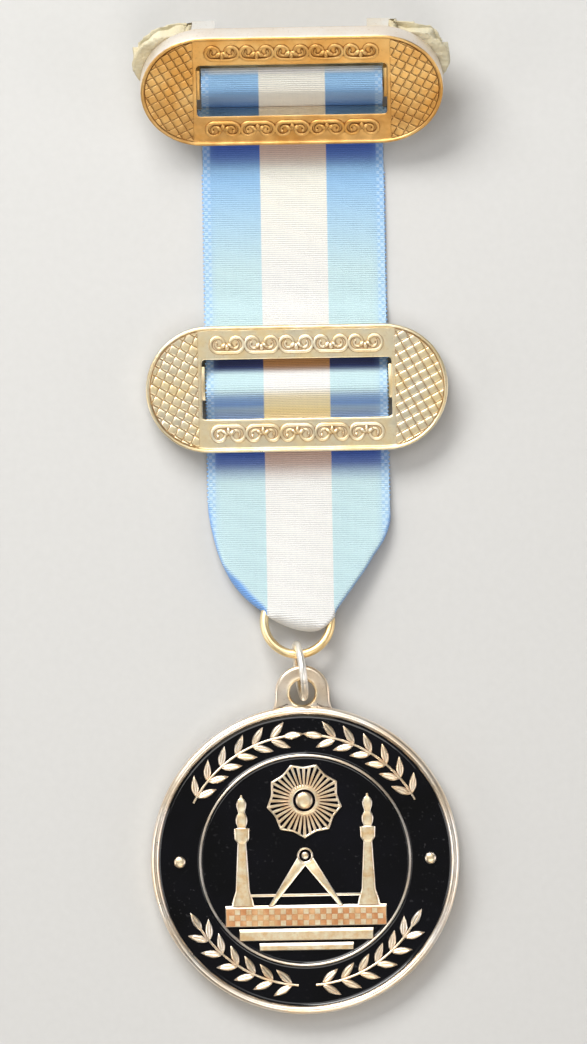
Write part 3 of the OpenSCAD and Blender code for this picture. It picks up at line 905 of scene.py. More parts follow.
# The loop's outline: round above, straight sides below that flare into the rim
def loopOutline(angle):
    radius, centre = discSize["loopRadius"], discSize["loopCentre"]
    c, s = cos(angle), sin(angle)
    if s >= 0:
        return radius * c, centre + radius * s
    reach = centre - (discSize["radius"] - 1.0)
    drop = radius * abs(s / c) if abs(c) > 1e-6 else reach + 1
    if drop < reach:
        return copysign(radius + 0.7 * (drop / reach) ** 3, c), centre - drop
    return c / abs(s) * reach * (radius + 0.7) / radius, centre - reach


def addLoop(shape):
    count = 96
    angles = [2 * pi * (i + 0.5) / count for i in range(count)]
    centre, top, hole = discSize["loopCentre"], discSize["loopTop"], discSize["holeRadius"]
    outline = [loopOutline(a) for a in angles]
    rings = [[(*p, h) for p in insetOutline(outline, inset)] for inset, h in (
        (0.5, 0), (0.16, 0), (0.04, 0.06), (0, 0.2), (0, top - 0.45), (0.04, top - 0.24), (0.13, top - 0.09),
        (0.28, top - 0.01), (0.5, top), (0.8, top),
    )]
    rings += [[(*p, h) for p in circlePoints(hole + grow, count, (0, centre), angles[0])] for grow, h in (
        (0.75, top), (0.36, top), (0.2, top - 0.04), (0.08, top - 0.15), (0.01, top - 0.34), (0, top - 0.6),
        (0, 0.2), (0.06, 0.05), (0.2, 0),
    )]
    start = len(shape.faces)
    addLoft(shape, rings, loop=True)
    # The hole's edge keeps its gold
    for face in list(shape.faces)[start:]:
        if (face.calc_center_median().xy - Vector((0, centre))).length < hole + 0.3:
            face.material_index = 1


# A relief along +Y whose half width follows a table, rounded across
def addRelief(shape, rows, x, low, shoulder, crown):
    across = 16
    full = 0.055 * field
    rings = []
    for y, half in rows:
        ring = [(x - half, y, low)]
        for i in range(across + 1):
            u = 2 * i / across - 1
            rise = (crown - shoulder) * (1 - u ** 4) ** 0.5 * min(half / full, 1) ** 0.8
            ring.append((x + half * u, y, shoulder + rise))
        rings.append([*ring, (x + half, y, low)])
    addLoft(shape, rings)


# Heights and half widths are shares of the field's radius
pillarRows = [
    (-0.43, 0.106), (-0.40, 0.101), (-0.37, 0.095), (-0.335, 0.083), (-0.30, 0.071), (-0.28, 0.068),
    (-0.1, 0.059), (0.17, 0.043),
]
capitalRows = [
    (0.165, 0.044), (0.178, 0.048), (0.19, 0.058), (0.205, 0.067), (0.22, 0.071), (0.26, 0.071),
    (0.304, 0.0735), (0.311, 0.072), (0.318, 0.039), (0.335, 0.045), (0.355, 0.053), (0.375, 0.057),
    (0.394, 0.058), (0.415, 0.055), (0.435, 0.048), (0.452, 0.036), (0.461, 0.032), (0.475, 0.034),
    (0.50, 0.043), (0.52, 0.048), (0.54, 0.049), (0.56, 0.046), (0.585, 0.034), (0.60, 0.018),
    (0.61, 0.010), (0.62, 0.012), (0.63, 0.006),
]
# Upper edge, height and width as shares, the top's height in mm and its finish
stepRows = [(-0.425, 0.205, 1.54, 2.32, 2), (-0.65, 0.115, 1.28, 2.42, 0), (-0.785, 0.075, 0.9, 2.42, 0)]


def addPillars(shape):
    for x in (-pillarX, pillarX):
        for table in (pillarRows, capitalRows):
            rows = [(y * field, half * field) for y, half in table]
            addRelief(shape, rows, x, figureLow, figureTop - 0.22, figureTop)


def addCompasses(shape):
    top, hinge = figureTop, Vector((0, 0.045)) * field
    right = [(0.31, -0.48), (0.358, -0.48), (0.073, -0.012), (0.04, -0.062)]
    shares = [(0, -0.099), *right, (0, -0.073), *[(-x, y) for x, y in reversed(right)]]
    addBlock(shape, [hinge + Vector(p) * field for p in shares], figureLow, top, 0.15)
    addRound(shape, [
        (1.0, figureLow), (1.0, top - 0.10), (0.97, top), (0.91, top + 0.05), (0.82, top + 0.04),
        (0.755, top - 0.03), (0.74, 1.9), (0.46, 1.9), (0.45, top - 0.05), (0.41, top + 0.05),
        (0.30, top + 0.10), (0.1, top + 0.12),
    ], 36, hinge, 0.078 * field)


# Steps whose upper edges slope towards the light, and a rail from pillar to pillar
def addSteps(shape):
    slope = 0.40
    for top, height, width, high, finish in stepRows:
        half, low, edge = width * field / 2, (top - height) * field, top * field
        addLoft(shape, [
            [(x, y, h) for x, y in rectanglePoints(side - half, half - side, low + side, edge - above)]
            for side, above, h in (
                (0, 0, figureLow), (0, 0, high - 0.26), (0.03, 0.04, high - 0.17), (0.10, slope, high),
                (0.14, slope + 0.05, high),
            )
        ])
        shape.faces.ensure_lookup_table()
        shape.faces[-1].material_index = finish
    outline = rectanglePoints(-pillarX, pillarX, -0.345 * field, -0.318 * field)
    addBlock(shape, outline, figureLow, 2.32, 0.1)


def makePavementTree():
    tree, given = geometryTree(
        "pavement", Int="Columns Rows", Float="Square", Vector="Middle", Material="Material")
    square, rows = given["Square"], given["Rows"]
    grid = geo(tree, "MeshGrid", {
        "Size X": mul(tree, square, sub(tree, given["Columns"], 1.0)),
        "Size Y": mul(tree, square, sub(tree, rows, 1.0)),
        "Vertices X": given["Columns"],
        "Vertices Y": rows,
    })
    index = geo(tree, "InputIndex")
    column = wholePart(tree, div(tree, add(tree, index, 0.5), rows))
    odd = modulo(tree, add(tree, column, sub(tree, index, mul(tree, column, rows))), 2.0)
    side = mul(tree, square, 0.9)
    tile = geo(tree, "MeshCube", {"Size": (1, 1, 1)})
    tiles = instances(tree, grid, tile, Selection=odd, Scale=vector(tree, side, side, 0.16))
    closeTree(tree, geo(tree, "Transform", {0: tiles, "Translation": given["Middle"]}), given["Material"])
    return tree


# A leaf along +X with a sunk midrib
def leafUnit():
    unit = bmesh.new()
    length, width = leafLook["length"], leafLook["width"]
    stations, across = 12, 8
    rings = []
    for i in range(stations + 1):
        t = i / stations
        half = max(width / 2 * sin(pi * t ** 0.85) ** 0.8 if 0 < t < 1 else 0.02, 0.02)
        ring = [(t * length, -half, -0.6)]
        for j in range(across + 1):
            u = 2 * j / across - 1
            rise = 0.30 * (1 - abs(u) ** 2.5) - 0.16 * (1 - abs(u)) ** 3
            ring.append((t * length, half * u, rise * min(half / 0.3, 1)))
        rings.append([*ring, (t * length, half, -0.6)])
    addLoft(unit, rings)
    return helperObject("leafUnit", unit)


# A ray along +X, from under the collar to the edge's inner side
def rayUnit():
    unit = bmesh.new()
    start, end = 0.14 * field, sunLook["tip"] * field - sunLook["edge"] + 0.1
    narrow, wide = sunLook["ray"]
    rings = []
    for i in range(5):
        x, half = start + (end - start) * i / 4, narrow + (wide - narrow) * i / 4
        low, side, top = (half, -0.6), (half, 0.02), (half * 0.55, 0.10)
        rings.append([(x, -y, h) for y, h in (low, side, top)] + [(x, y, h) for y, h in (top, side, low)])
    addLoft(unit, rings)
    return helperObject("rayUnit", unit)


def makeSprayTree():
    tree, given = geometryTree(
        "leafSpray", Object="Leaf", Int="Pairs", Float="Radius Start Sweep Lean Height", Material="Material")
    leaf = shapeOf(tree, given["Leaf"])
    index = geo(tree, "InputIndex")
    step = div(tree, given["Sweep"], add(tree, given["Pairs"], 0.6))
    grown = []
    for side in (-1, 1, 0):
        seeds = geo(tree, "MeshLine", {"Count": given["Pairs"] if side else 1})
        along = add(tree, index, 0.35) if side else given["Pairs"]
        angle = mulAdd(tree, along, step, given["Start"])
        radius = add(tree, given["Radius"], side * 0.12)
        x, y = mul(tree, cosine(tree, angle), radius), mul(tree, sine(tree, angle), radius)
        points = geo(tree, "SetPosition", {0: seeds, "Position": vector(tree, x, y, given["Height"])})
        lean = mulAdd(tree, given["Lean"], float(-side), radians(90 if side else 92))
        grown.append(instances(tree, points, leaf, Rotation=vector(tree, z=add(tree, angle, lean))))
    stem = geo(tree, "CurveArc", {
        "Resolution": 40,
        "Radius": given["Radius"],
        "Start Angle": given["Start"],
        "Sweep Angle": mul(tree, given["Sweep"], 0.95),
    })
    lifted = geo(tree, "Transform", {0: stem, "Translation": vector(tree, z=given["Height"])})
    spray = geo(tree, "JoinGeometry", {0: [*grown, tubeAlong(tree, lifted, 10, 0.17)]})
    closeTree(tree, spray, given["Material"])
    return tree


def makeRayTree():
    tree, given = geometryTree(
        "sunRays", Object="Ray", Int="Count Points", Float="Hollow", Vector="Middle", Material="Material")
    seeds = geo(tree, "MeshLine", {"Count": given["Count"], "Offset": (0, 0, 0)})
    turns = div(tree, geo(tree, "InputIndex"), given["Count"])
    # Rays are longest at the points and shortest half way between them
    part = fraction(tree, mulAdd(tree, turns, given["Points"], 0.5))
    away = mul(tree, absolute(tree, sub(tree, part, 0.5)), 2.0)
    short = sub(tree, 1.0, power(tree, sub(tree, 1.0, away), 1.6))
    length = sub(tree, 1.0, mul(tree, given["Hollow"], short))
    turn = vector(tree, z=mulAdd(tree, turns, 2 * pi, -pi / 2))
    size = vector(tree, length, 1.0, 1.0)
    rays = instances(tree, seeds, shapeOf(tree, given["Ray"]), Rotation=turn, Scale=size)
    closeTree(tree, geo(tree, "Transform", {0: rays, "Translation": given["Middle"]}), given["Material"])
    return tree


# Distance of the sun's edge from its middle; the points are where away is 0
def sunReach(away):
    return (sunLook["tip"] - sunLook["hollow"] * (1 - (1 - away) ** 1.6)) * field


def addSun(shape):
    top, edge = figureTop, sunLook["edge"]
    centre = (0, sunLook["height"] * field)
    addRound(shape, [
        (1.3, figureLow), (1.3, top - 0.16), (1.2, top - 0.06), (1.08, top), (0.97, top), (0.91, top - 0.1),
        (0.89, 1.8), (0.71, 1.8), (0.69, top - 0.1), (0.62, top + 0.04), (0.4, top + 0.12), (0.1, top + 0.14),
    ], 40, centre, sunLook["hub"] * field)
    steps = 16 * sunLook["points"]
    outline = []
    for i in range(steps):
        away = abs((i / 16 + 0.5) % 1 - 0.5) * 2
        outline.append(polar(sunReach(away), 2 * pi * i / steps - pi / 2, centre))
    addInset(shape, outline, [
        (0, figureLow), (0, top - 0.16), (0.05, top - 0.05), (0.12, top), (edge - 0.12, top),
        (edge - 0.04, top - 0.06), (edge, 1.8),
    ], loop=True)
    unit = rayUnit()
    addMesh(shape, runTree(
        makeRayTree(),
        Ray=unit,
        Count=sunLook["rays"],
        Points=sunLook["points"],
        Hollow=sunLook["hollow"] / sunLook["tip"],
        Middle=(*centre, top - 0.08),
        Material=gilt["figureGilt"],
    ))
    dropHelpers(unit)


def addSprays(shape):
    unit, tree = leafUnit(), makeSprayTree()
    for start in leafLook["starts"]:
        for side in (1, -1):
            spray = runTree(
                tree,
                Leaf=unit,
                Pairs=leafLook["pairs"],
                Radius=bandMiddle,
                Start=radians(start),
                Sweep=radians(leafLook["sweep"]),
                Lean=radians(leafLook["angle"]),
                Height=figureTop - 0.25,
                Material=gilt["roseGilt"],
            )
            addMesh(shape, spray, Matrix.Diagonal((side, 1, 1, 1)))
    dropHelpers(unit)


def makeMedal():
    shape = bmesh.new()
    addDiscBody(shape)
    addLoop(shape)
    top, half = figureTop, discSize["lineWidth"] / 2 - 0.03
    flank = [(1, figureLow), (0.9, top - 0.22), (0.6, top - 0.05)]
    line = [(field - half * k, h) for k, h in flank] + [(field, top)]
    line += [(field + half * k, h) for k, h in reversed(flank)]
    addRound(shape, line, discSize["sides"], loop=True)
    plain = len(shape.faces)
    for side in (-1, 1):
        addRound(shape, [
            (0.82, figureLow), (0.82, top - 0.2), (0.76, top - 0.02), (0.6, top + 0.1), (0.35, top + 0.17),
            (0.1, top + 0.19),
        ], 28, (side * bandMiddle, 0))
    for addFigure in (addPillars, addCompasses, addSteps, addSun, addSprays):
        addFigure(shape)
    edge, height = stepRows[0][:2]
    middle = (0.0, (edge - height / 2) * field - 0.2, 2.37)
    addMesh(shape, runTree(makePavementTree(), **pavementLook, Middle=middle, Material=gilt["figureGilt"]))
    # The flat tops of the figures take the gold finish, their sloping sides and edges keep the paler rose one
    shape.normal_update()
    for i, face in enumerate(shape.faces):
        if i >= plain and face.material_index == 0 and abs(face.normal.z) > 0.94:
            face.material_index = 1
    finishes = [gilt[name] for name in ("roseGilt", "figureGilt", "agedGilt")]
    dress(finishPiece("discCasting", shape, discPlace, *finishes), "pale_gilt", "medal")


# Enamel creeps up the metal beside it
def makeEnamel():
    top, low = discSize["enamelTop"], discSize["plate"] + 0.02
    creep = [(0, top + 0.12), (0.14, top + 0.10), (0.22, top + 0.04), (0.3, top + 0.01), (0.45, top)]
    inner, outer = field + 0.1, discSize["radius"] - discSize["rimWidth"] + 0.06
    fieldRows = [(0.05, low), (field - 0.1, low), *[(field - 0.1 - d, h) for d, h in creep]]
    fieldRows += [(5.0, top), (0.05, top)]
    borderRows = [(inner, low), *[(inner + d, h) for d, h in creep], (outer - 0.7, top)]
    borderRows += [(outer - 0.4, top + 0.02), (outer - 0.2, top + 0.08), (outer - 0.08, top + 0.18)]
    borderRows += [(outer, top + 0.24), (outer, low)]
    for name, node, rows in (
        ("enamelField", "enamel_field", fieldRows),
        ("enamelBorder", "enamel_border", borderRows),
    ):
        shape = bmesh.new()
        addRound(shape, rows, discSize["enamelSides"], loop=rows is borderRows)
        dress(finishPiece(name, shape, discPlace, blackEnamel, sharp=60), "enamel", node)


makeMedal()
makeEnamel()
print("disc ready")


# Rings: wire bent round, with the butt joint left open by a hair; "outside" and "wire" are diameters

ringTilt = radians(9.96)
ringLooks = {
    "ribbonRing": {
        "node": "suspension_ring",
        "slot": "deep_gilt",
        "finish": "wireGilt",
        "outside": 10.4,
        "wire": 1.2,
        "joint": 75,  # degrees round the ring
        "turn": Matrix.Rotation(-ringTilt, 4, "X"),
    },
    "jumpRing": {
        "node": "jump_ring",
        "slot": "plated_wire",
        "finish": "wireSilver",
        "outside": 8.4,
        "wire": 1.0,
        "joint": 205,
        "turn": Matrix.Rotation(radians(7), 4, "Z") @ Matrix.Rotation(radians(96), 4, "Y"),
    },
}


def makeWireRing(name, look):
    low, high = boxOf(look["node"])
    shape = bmesh.new()
    radius = (look["outside"] - look["wire"]) / 2
    steps, hair = 96, 0.006
    rings = []
    for i in range(steps + 1):
        a = radians(look["joint"]) + hair + (2 * pi - 2 * hair) * i / steps
        section = circlePoints((0.94 if i in (0, steps) else 1.0) * look["wire"] / 2, 24)
        rings.append([(*polar(radius + out, a), h) for out, h in section])
    addLoft(shape, rings)
    place = placeAt(*(low + high) / 2) @ look["turn"]
    dress(finishPiece(name, shape, place, gilt[look["finish"]]), look["slot"], look["node"])


for ringName, ringLook in ringLooks.items():
    makeWireRing(ringName, ringLook)
print("rings ready")


# The ribbon, as one sheet: it wraps the upper rod, passes both bars and folds through the ring

cloth = {
    "width": 25.0,
    "thickness": 0.45,
    "clear": 0.09,
    "rowStep": 0.4,
    "tail": 0.8,
    "hem": 3.0,
    "tight": 0.3,
    "foldLeft": 1.5,
    "foldRight": 0.3,
    "lowest": -16.0,  # height on the page of the fold, then of the end behind it
    "turnUpEnd": -3.9,
    "loopReach": 2.5,
    "loopRise": 0.5,
    "foldMiddle": -0.5,
    "ringReach": 3.15,
    "lowestAt": 1.6,
    "endLeft": (-5.0, -13.5),
    "endRight": (4.6, -13.95),
    "hemSteps": 9,
    "acrossSteps": 44,
}
# Height on the page and half widths to the left and right, below the slide bar
taper = [
    (2.4, 12.5, 12.5),
    (1.5, 12.47, 12.5),
    (-1.25, 12.1, 12.35),
    (-3.73, 11.6, 11.5),
    (-5.71, 11.1, 10.25),
    (-7.94, 10.25, 8.9),
    (-9.93, 9.25, 7.5),
    (-11.91, 7.75, 6.1),
    (-13.3, 6.3, 5.1),
    (-14.3, 5.0, 4.5),
]
halfCloth = cloth["thickness"] / 2
ringLow, ringHigh = boxOf("suspension_ring")
ringY, ringZ = (ringLow.y + ringHigh.y) / 2, (ringLow.z + ringHigh.z) / 2
underBar = boxOf("middle_bar")[0].z - halfCloth - cloth["clear"]


def ease(value, start, end):
    t = min(max((value - start) / (end - start), 0), 1)
    return t * t * (3 - 2 * t)


def hermite(a, b, slopeA, slopeB, t, span):
    return (
        (2 * t ** 3 - 3 * t ** 2 + 1) * a + (t ** 3 - 2 * t ** 2 + t) * slopeA * span
        + (3 * t ** 2 - 2 * t ** 3) * b + (t ** 3 - t ** 2) * slopeB * span
    )


# Smooth curve through the taper's table, by its first column, which falls
def taperAt(key, column):
    if key >= taper[0][0]:
        return taper[0][column]
    if key <= taper[-1][0]:
        return taper[-1][column]
    i = next(i for i in range(len(taper) - 1) if key >= taper[i + 1][0])
    before, a, b, after = taper[max(i - 1, 0)], taper[i], taper[i + 1], taper[min(i + 2, len(taper) - 1)]
    span = a[0] - b[0]
    slopeA = (b[column] - before[column]) / max(before[0] - b[0], span)
    slopeB = (after[column] - a[column]) / max(a[0] - after[0], span)
    return hermite(a[column], b[column], slopeA, slopeB, (a[0] - key) / span, span)


# The middle of the cloth seen from its edge, from its tail behind the brooch bar to the slide bar
def upperPath():
    under = halfCloth + cloth["clear"]
    rod = barSize["rodRadius"]
    wrap = rod + under
    window, bar = barSize["windowWidth"] / 2, barSize["width"] / 2
    reach, rise = cloth["loopReach"], cloth["loopRise"]
    crest = rod + wrap + rise
    own = [(-cloth["tail"], -under)]
    own += [(reach * cos(a), rod + rise / 2 + (wrap + rise / 2) * sin(a)) for a in arc(-90, 90, 18)]
    own += [(-window * i / 20, -under + (crest + under) / 2 * (1 + cos(pi * i / 20))) for i in range(1, 21)]
    own += [(-window - (bar - window) * i / 8, -under) for i in range(1, 9)]
    onBar = (topPlace @ Vector((0, v * mm, h * mm)) / mm for v, h in own)
    points = [(p.y, p.z) for p in onBar]
    # Down to the page in one bend, then flat with a slight sway
    tilt, low = radians(barSize["tilt"]), halfCloth + 0.01
    y, z = points[-1]
    bend = (z - low) / (1 - cos(tilt))
    for i in range(1, 13):
        a = tilt * (1 - i / 12)
        points.append((y - bend * (sin(tilt) - sin(a)), z + bend * (cos(tilt) - cos(a))))
    barLow, barHigh = boxOf("middle_bar")
    centre = (barLow.y + barHigh.y) / 2
    start, end = points[-1][0], barHigh.y
    steps = 44
    for i in range(1, steps + 1):
        y = start + (end - start) * i / steps
        sway = 0.10 * sin((start - y) / (start - end) * pi) ** 2
        points.append((y, low + sway + (underBar - low) * ease(y, end + 4.5, end - 0.3)))
    # Over the slide bar's rod
    rodTop = barLow.z + rod + wrap + rise * 0.6
    points += [(barHigh.y - (bar - window) * i / 12, underBar) for i in range(1, 13)]
    for i in range(-19, 21):
        points.append((centre - window * i / 20, underBar + (rodTop - underBar) / 2 * (1 + cos(pi * i / 20))))
    return points + [(centre - window - (bar - window) * i / 12, underBar) for i in range(1, 13)]


# How far down the page the cloth reaches at a place across it
def bottomAt(x):
    middle = cloth["lowestAt"]
    corner, end = cloth["endLeft"] if x < middle else cloth["endRight"]
    share = min((x - middle) / (corner - middle), 1)
    return end + (cloth["lowest"] - end) * cos(pi / 2 * share) ** 0.9


# Height of the front layer's middle below the slide bar, resting on the ring further down
def frontHeight(y, start):
    lift = (ringLooks["ribbonRing"]["wire"] / 2 + cloth["clear"] + halfCloth) / cos(ringTilt)
    onRing, slope = ringY + 5.2, tan(ringTilt)
    if y > start:
        return underBar
    if y < onRing:
        return ringZ - (y - ringY) * slope + lift
    t = (start - y) / (start - onRing)
    return hermite(underBar, ringZ - (onRing - ringY) * slope + lift, 0, slope, t, start - onRing)


# Where one side starts to bend so that its outermost point comes to a given edge
def bendStart(edge, bend):
    half = cloth["width"] / 2
    low, high = edge - bend - 0.01, half
    for _ in range(40):
        middle = (low + high) / 2
        if middle + bend * sin(min((half - middle) / bend, pi / 2)) > edge:
            high = middle
        else:
            low = middle
    return (low + high) / 2


# The left side is rolled more loosely, down to the ring
def rollRadius(y):
    loose = ease(y, -7, -10.5) * (1 - ease(y, -14.0, -15.4))
    return cloth["tight"] + (cloth["foldLeft"] - cloth["tight"]) * loose


# Points across one row: the flat front, then each side rolled under to a hem
def rowAcross(left, right, curl, leftRadius):
    half, tight, sides = cloth["width"] / 2, cloth["tight"], []
    pieces = cloth["hemSteps"] * 4
    for side, edge, radius in ((-1, left, leftRadius), (1, right, cloth["foldRight"])):
        bend = radius / max(curl, 0.02)
        begin = min(bendStart(edge, bend), half - 0.3) if curl else half - 0.3
        total = min(half - begin, cloth["hem"])
        x, z, rolled = begin, 0.0, []
        loose = max(radius - tight, 0) / (cloth["foldLeft"] - tight) if side < 0 else 0
        for i in range(1, pieces + 1):
            a = min(total * (i - 0.5) / pieces / bend, pi) if curl > 0 else 0
            x += cos(a) * total / pieces
            z -= sin(a) * total / pieces
            if i % 4 == 0:
                # How far the edge is rolled, as a share; it sets the painted shade on the rolled edge
                tucked = max(a - 0.12 * loose, 0) / (1.3 - 1.12 * loose)
                rolled.append((side * x, z, side * (begin + total * i / pieces), min(tucked, 1)))
        sides.append((begin, rolled))
    begin, end = -sides[0][0], sides[1][0]
    flat = [begin + (end - begin) * i / cloth["acrossSteps"] for i in range(cloth["acrossSteps"] + 1)]
    return list(reversed(sides[0][1])) + [(x, 0.0, x, 0.0) for x in flat] + sides[1][1]


# Radius with which the cloth turns under at its lowest edge: wide in the ring, tight at the sides
def turnRadius(x):
    return 0.28 + 1.22 * (1 - ease(abs(x - cloth["foldMiddle"]), 1.8, 3.9))


# Rows of points across the cloth, in even steps down to the slide bar, then tapering to the ring.
# A point is its place, its two places on the flat cloth and how far it is rolled.
def ribbonRows():
    path = upperPath()
    placed = [path[0]]
    for a, b in zip(path, path[1:]):
        pieces = max(1, round(dist(a, b) / cloth["rowStep"]))
        for i in range(1, pieces + 1):
            placed.append(tuple(a[k] + (b[k] - a[k]) * i / pieces for k in (0, 1)))
    half = cloth["width"] / 2
    flatRow = rowAcross(half, half, 0, cloth["tight"])
    rows, run, last = [], 0.0, placed[0]
    for y, z in placed:
        run += dist(last, (y, z))
        last = (y, z)
        rows.append([(x, y, z + h, u, run, 0.0) for x, h, u, rolled in flatRow])
    start, fronts = last[0], 66
    for i in range(1, fronts + 1):
        f = i / fronts
        y0 = start + (cloth["lowest"] + 1.8 - start) * f
        row = []
        across = rowAcross(taperAt(y0, 1), taperAt(y0, 2), ease(y0, 4.5, -3.5), rollRadius(y0))
        for x, h, u, rolled in across:
            end = bottomAt(x) + turnRadius(x) + halfCloth
            y = start + (end - start) * f
            wave = 0.10 * sin(x * 0.55 + 1.0) * ease(y, 5.0, -4.0)
            row.append((x, y, frontHeight(y, start - 3.4) + h + wave, u, run + start - y, rolled))
        rows.append(row)
    return rows, run + start


def makeRibbon():
    rows, run = ribbonRows()
    shape = bmesh.new()
    layer = shape.loops.layers.uv.new("cloth")
    mask = shape.verts.layers.float.new("rolled")
    flatPoints = {}

    def addRow(row):
        made = []
        for *spot, u, s, rolled in row:
            v = shape.verts.new(spot)
            v[mask] = rolled
            flatPoints[v] = (0.5 + u / 100, s / 100)
            made.append(v)
        return made

    def joinRows(a, b):
        for i in range(len(a) - 1):
            face = shape.faces.new((a[i], a[i + 1], b[i + 1], b[i]))
            for loop in face.loops:
                loop[layer].uv = flatPoints[loop.vert]
        return b

    grid = [addRow(row) for row in rows]
    for a, b in zip(grid, grid[1:]):
        joinRows(a, b)
    # The turn: half a circle in each column, then the layer behind it for the columns inside the ring
    previous, turns = grid[-1], 12
    for j in range(1, turns + 1):
        a = pi * j / turns
        turned = []
        for x, y, z, u, s, rolled in rows[-1]:
            r = turnRadius(x)
            turned.append((x, y - r * sin(a), z - r * (1 - cos(a)), u, s + r * a, rolled))
        previous = joinRows(previous, addRow(turned))
    middle, reach, hemSteps = cloth["foldMiddle"], cloth["ringReach"], cloth["hemSteps"]
    inside = [i for i in range(hemSteps, len(turned) - hemSteps) if abs(turned[i][0] - middle) < reach]
    previous = [previous[i] for i in inside]
    low, backs = halfCloth + 0.01, 30
    for j in range(1, backs + 1):
        row = []
        for i in inside:
            x, y, z, u, s, rolled = turned[i]
            newY = y + (cloth["turnUpEnd"] - y) * j / backs
            widen = 1 + 1.3 * ease(newY, -12.5, -6.0)
            height = z + (low - z) * ease(newY, y, -11.4)
            row.append((middle + (x - middle) * widen, newY, height, u * widen, s + newY - y, rolled))
        previous = joinRows(previous, addRow(row))
    length = run - cloth["lowest"] + pi * 1.5 + cloth["turnUpEnd"] - cloth["lowest"]
    area = sum(face.calc_area() for face in shape.faces) * mm * mm
    sheet = finishPiece("ribbonSheet", shape, Matrix.Identity(4), ribbonCloth, sharp=0)
    wall = sheet.modifiers.new("thickness", "SOLIDIFY")
    wall.thickness = cloth["thickness"] * mm
    wall.offset = 0
    dress(sheet, "ribbon", "ribbon")
    return sheet, length, area, rows


ribbonSheet, ribbonLength, ribbonArea, clothRows = makeRibbon()
print("ribbon ready", round(ribbonLength, 1), "mm long")


# Picots: tiny loops of weft along both edges

picotLook = {
    "spacing": 0.58,
    "size": 0.2,
    "reach": (2.0, 47.5),  # heights on the page in mm
}


def makePicotTree():
    tree, given = geometryTree("picots", Object="Edge", Float="Spacing Size", Material="Material")
    path = geo(tree, "MeshToCurve", {0: shapeOf(tree, given["Edge"])})
    spots = geo(tree, "ResampleCurve", {0: path, "Length": given["Spacing"]}, mode="LENGTH")
    wires = {"Vector": geo(tree, "InputTangent")}
    turn = newNode(tree, "FunctionNodeAlignRotationToVector", wires, axis="Y").outputs[0]
    size = given["Size"]
    scale = vector(tree, size, mul(tree, size, 0.75), mul(tree, size, 0.8))
    closeTree(tree, instances(tree, spots, ball(tree, 8, 5), Rotation=turn, Scale=scale), given["Material"])
    return tree


def picotMaterial():
    material, tree, shader = newMaterial("picotThread")
    fine = noiseOf(tree, objectPlace(tree), 3000.0, 2.0)
    setInputs(tree, shader, {
        "Base Color": mixColour(tree, fine, (0.12, 0.32, 0.72), (0.34, 0.58, 0.92)),
        "Normal": bump(tree, fine, 0.04),
        "Roughness": 0.7,
    })
    return material


def makePicots():
    tree, thread = makePicotTree(), picotMaterial()
    shape = bmesh.new()
    low, high = picotLook["reach"]
    for column in (0, -1):
        points = [row[column][:3] for row in clothRows if low < row[column][1] < high]
        guide = bpy.data.meshes.new("edgeGuide")
        guide.from_pydata(points, [(i, i + 1) for i in range(len(points) - 1)], [])
        helper = newObject("edgeGuide", guide)
        sizes = {"Spacing": picotLook["spacing"], "Size": picotLook["size"]}
        addMesh(shape, runTree(tree, Edge=helper, **sizes, Material=thread))
        dropHelpers(helper)
    piece = finishPiece("ribbonPicots", shape, Matrix.Identity(4), thread, sharp=80)
    dress(piece, "ribbon")
    return piece


ribbonPicots = makePicots()
print("picots ready")


# The foam pad behind the brooch bar: the frame's plain solid, worn and torn

padLook = {
    "cell": 0.32,
    "wear": 0.45,
    "crumb": 0.09,
    "grit": 0.03,
    "bulge": 0.5,
    "sink": 1.15,
    "corner": (13, 4),  # where the corners that show begin, across and up the bar
}


def makePad():
    shape = bmesh.new()
    shape.from_mesh(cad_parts["backing_pad"].data)
    bmesh.ops.remove_doubles(shape, verts=shape.verts, dist=1e-6)
    bmesh.ops.scale(shape, vec=(1 / mm,) * 3, verts=shape.verts)
    pad = helperObject("foamPad", shape)
    grain = pad.modifiers.new("cells", "REMESH")
    grain.mode = "VOXEL"
    grain.voxel_size = padLook["cell"]
    graph = bpy.context.evaluated_depsgraph_get()
    mesh = bpy.data.meshes.new_from_object(pad.evaluated_get(graph))
    dropHelpers(pad)
    shape = bmesh.new()
    addMesh(shape, mesh)
    for _ in range(3):
        bmesh.ops.smooth_vert(
            shape, verts=shape.verts, factor=0.5, use_axis_x=True, use_axis_y=True, use_axis_z=True)
    shape.normal_update()
    toBar = topPlace.inverted()
    turn = toBar.to_3x3()
    moves = []
    for v in shape.verts:
        own = toBar @ (v.co * mm) / mm
        big = noise.noise(v.co * 0.35 + Vector((4, 1, 7)))
        amount = big * padLook["wear"] + noise.noise(v.co * 1.5) * padLook["crumb"]
        amount += noise.noise(v.co * 4.0) * padLook["grit"]
        # The side against the bar only wears down, the upper corners bulge, the upper edge is sunk
        if (turn @ v.normal).normalized().z > 0.3:
            amount = -abs(amount) * 0.8
        elif own.y > padLook["corner"][1] and abs(own.x) > padLook["corner"][0]:
            amount += padLook["bulge"] * max(big, 0)
        if v.normal.y > 0.2:
            amount -= padLook["sink"]
        moves.append(v.normal * amount)
    for v, move in zip(shape.verts, moves):
        v.co += move
    piece = finishPiece("foamPad", shape, Matrix.Identity(4), creamFoam, sharp=180)
    dress(piece, "foam", "backing_pad")


makePad()
print("pad ready")


# The brooch pin on the back: plate, two feet with hinge barrel and catch roll, and wire

pinLook = {
    "length": 32.0,
    "width": 4.6,
    "plateTop": -4.45,
    "plate": 0.8,
    "middle": 2.85,
    "foot": 3.2,
    "cheek": 0.9,
    "low": -8.04,
    "barrel": 0.85,
    "roll": 0.6,
    "wire": 0.9,
    "wireLow": -6.955,
}


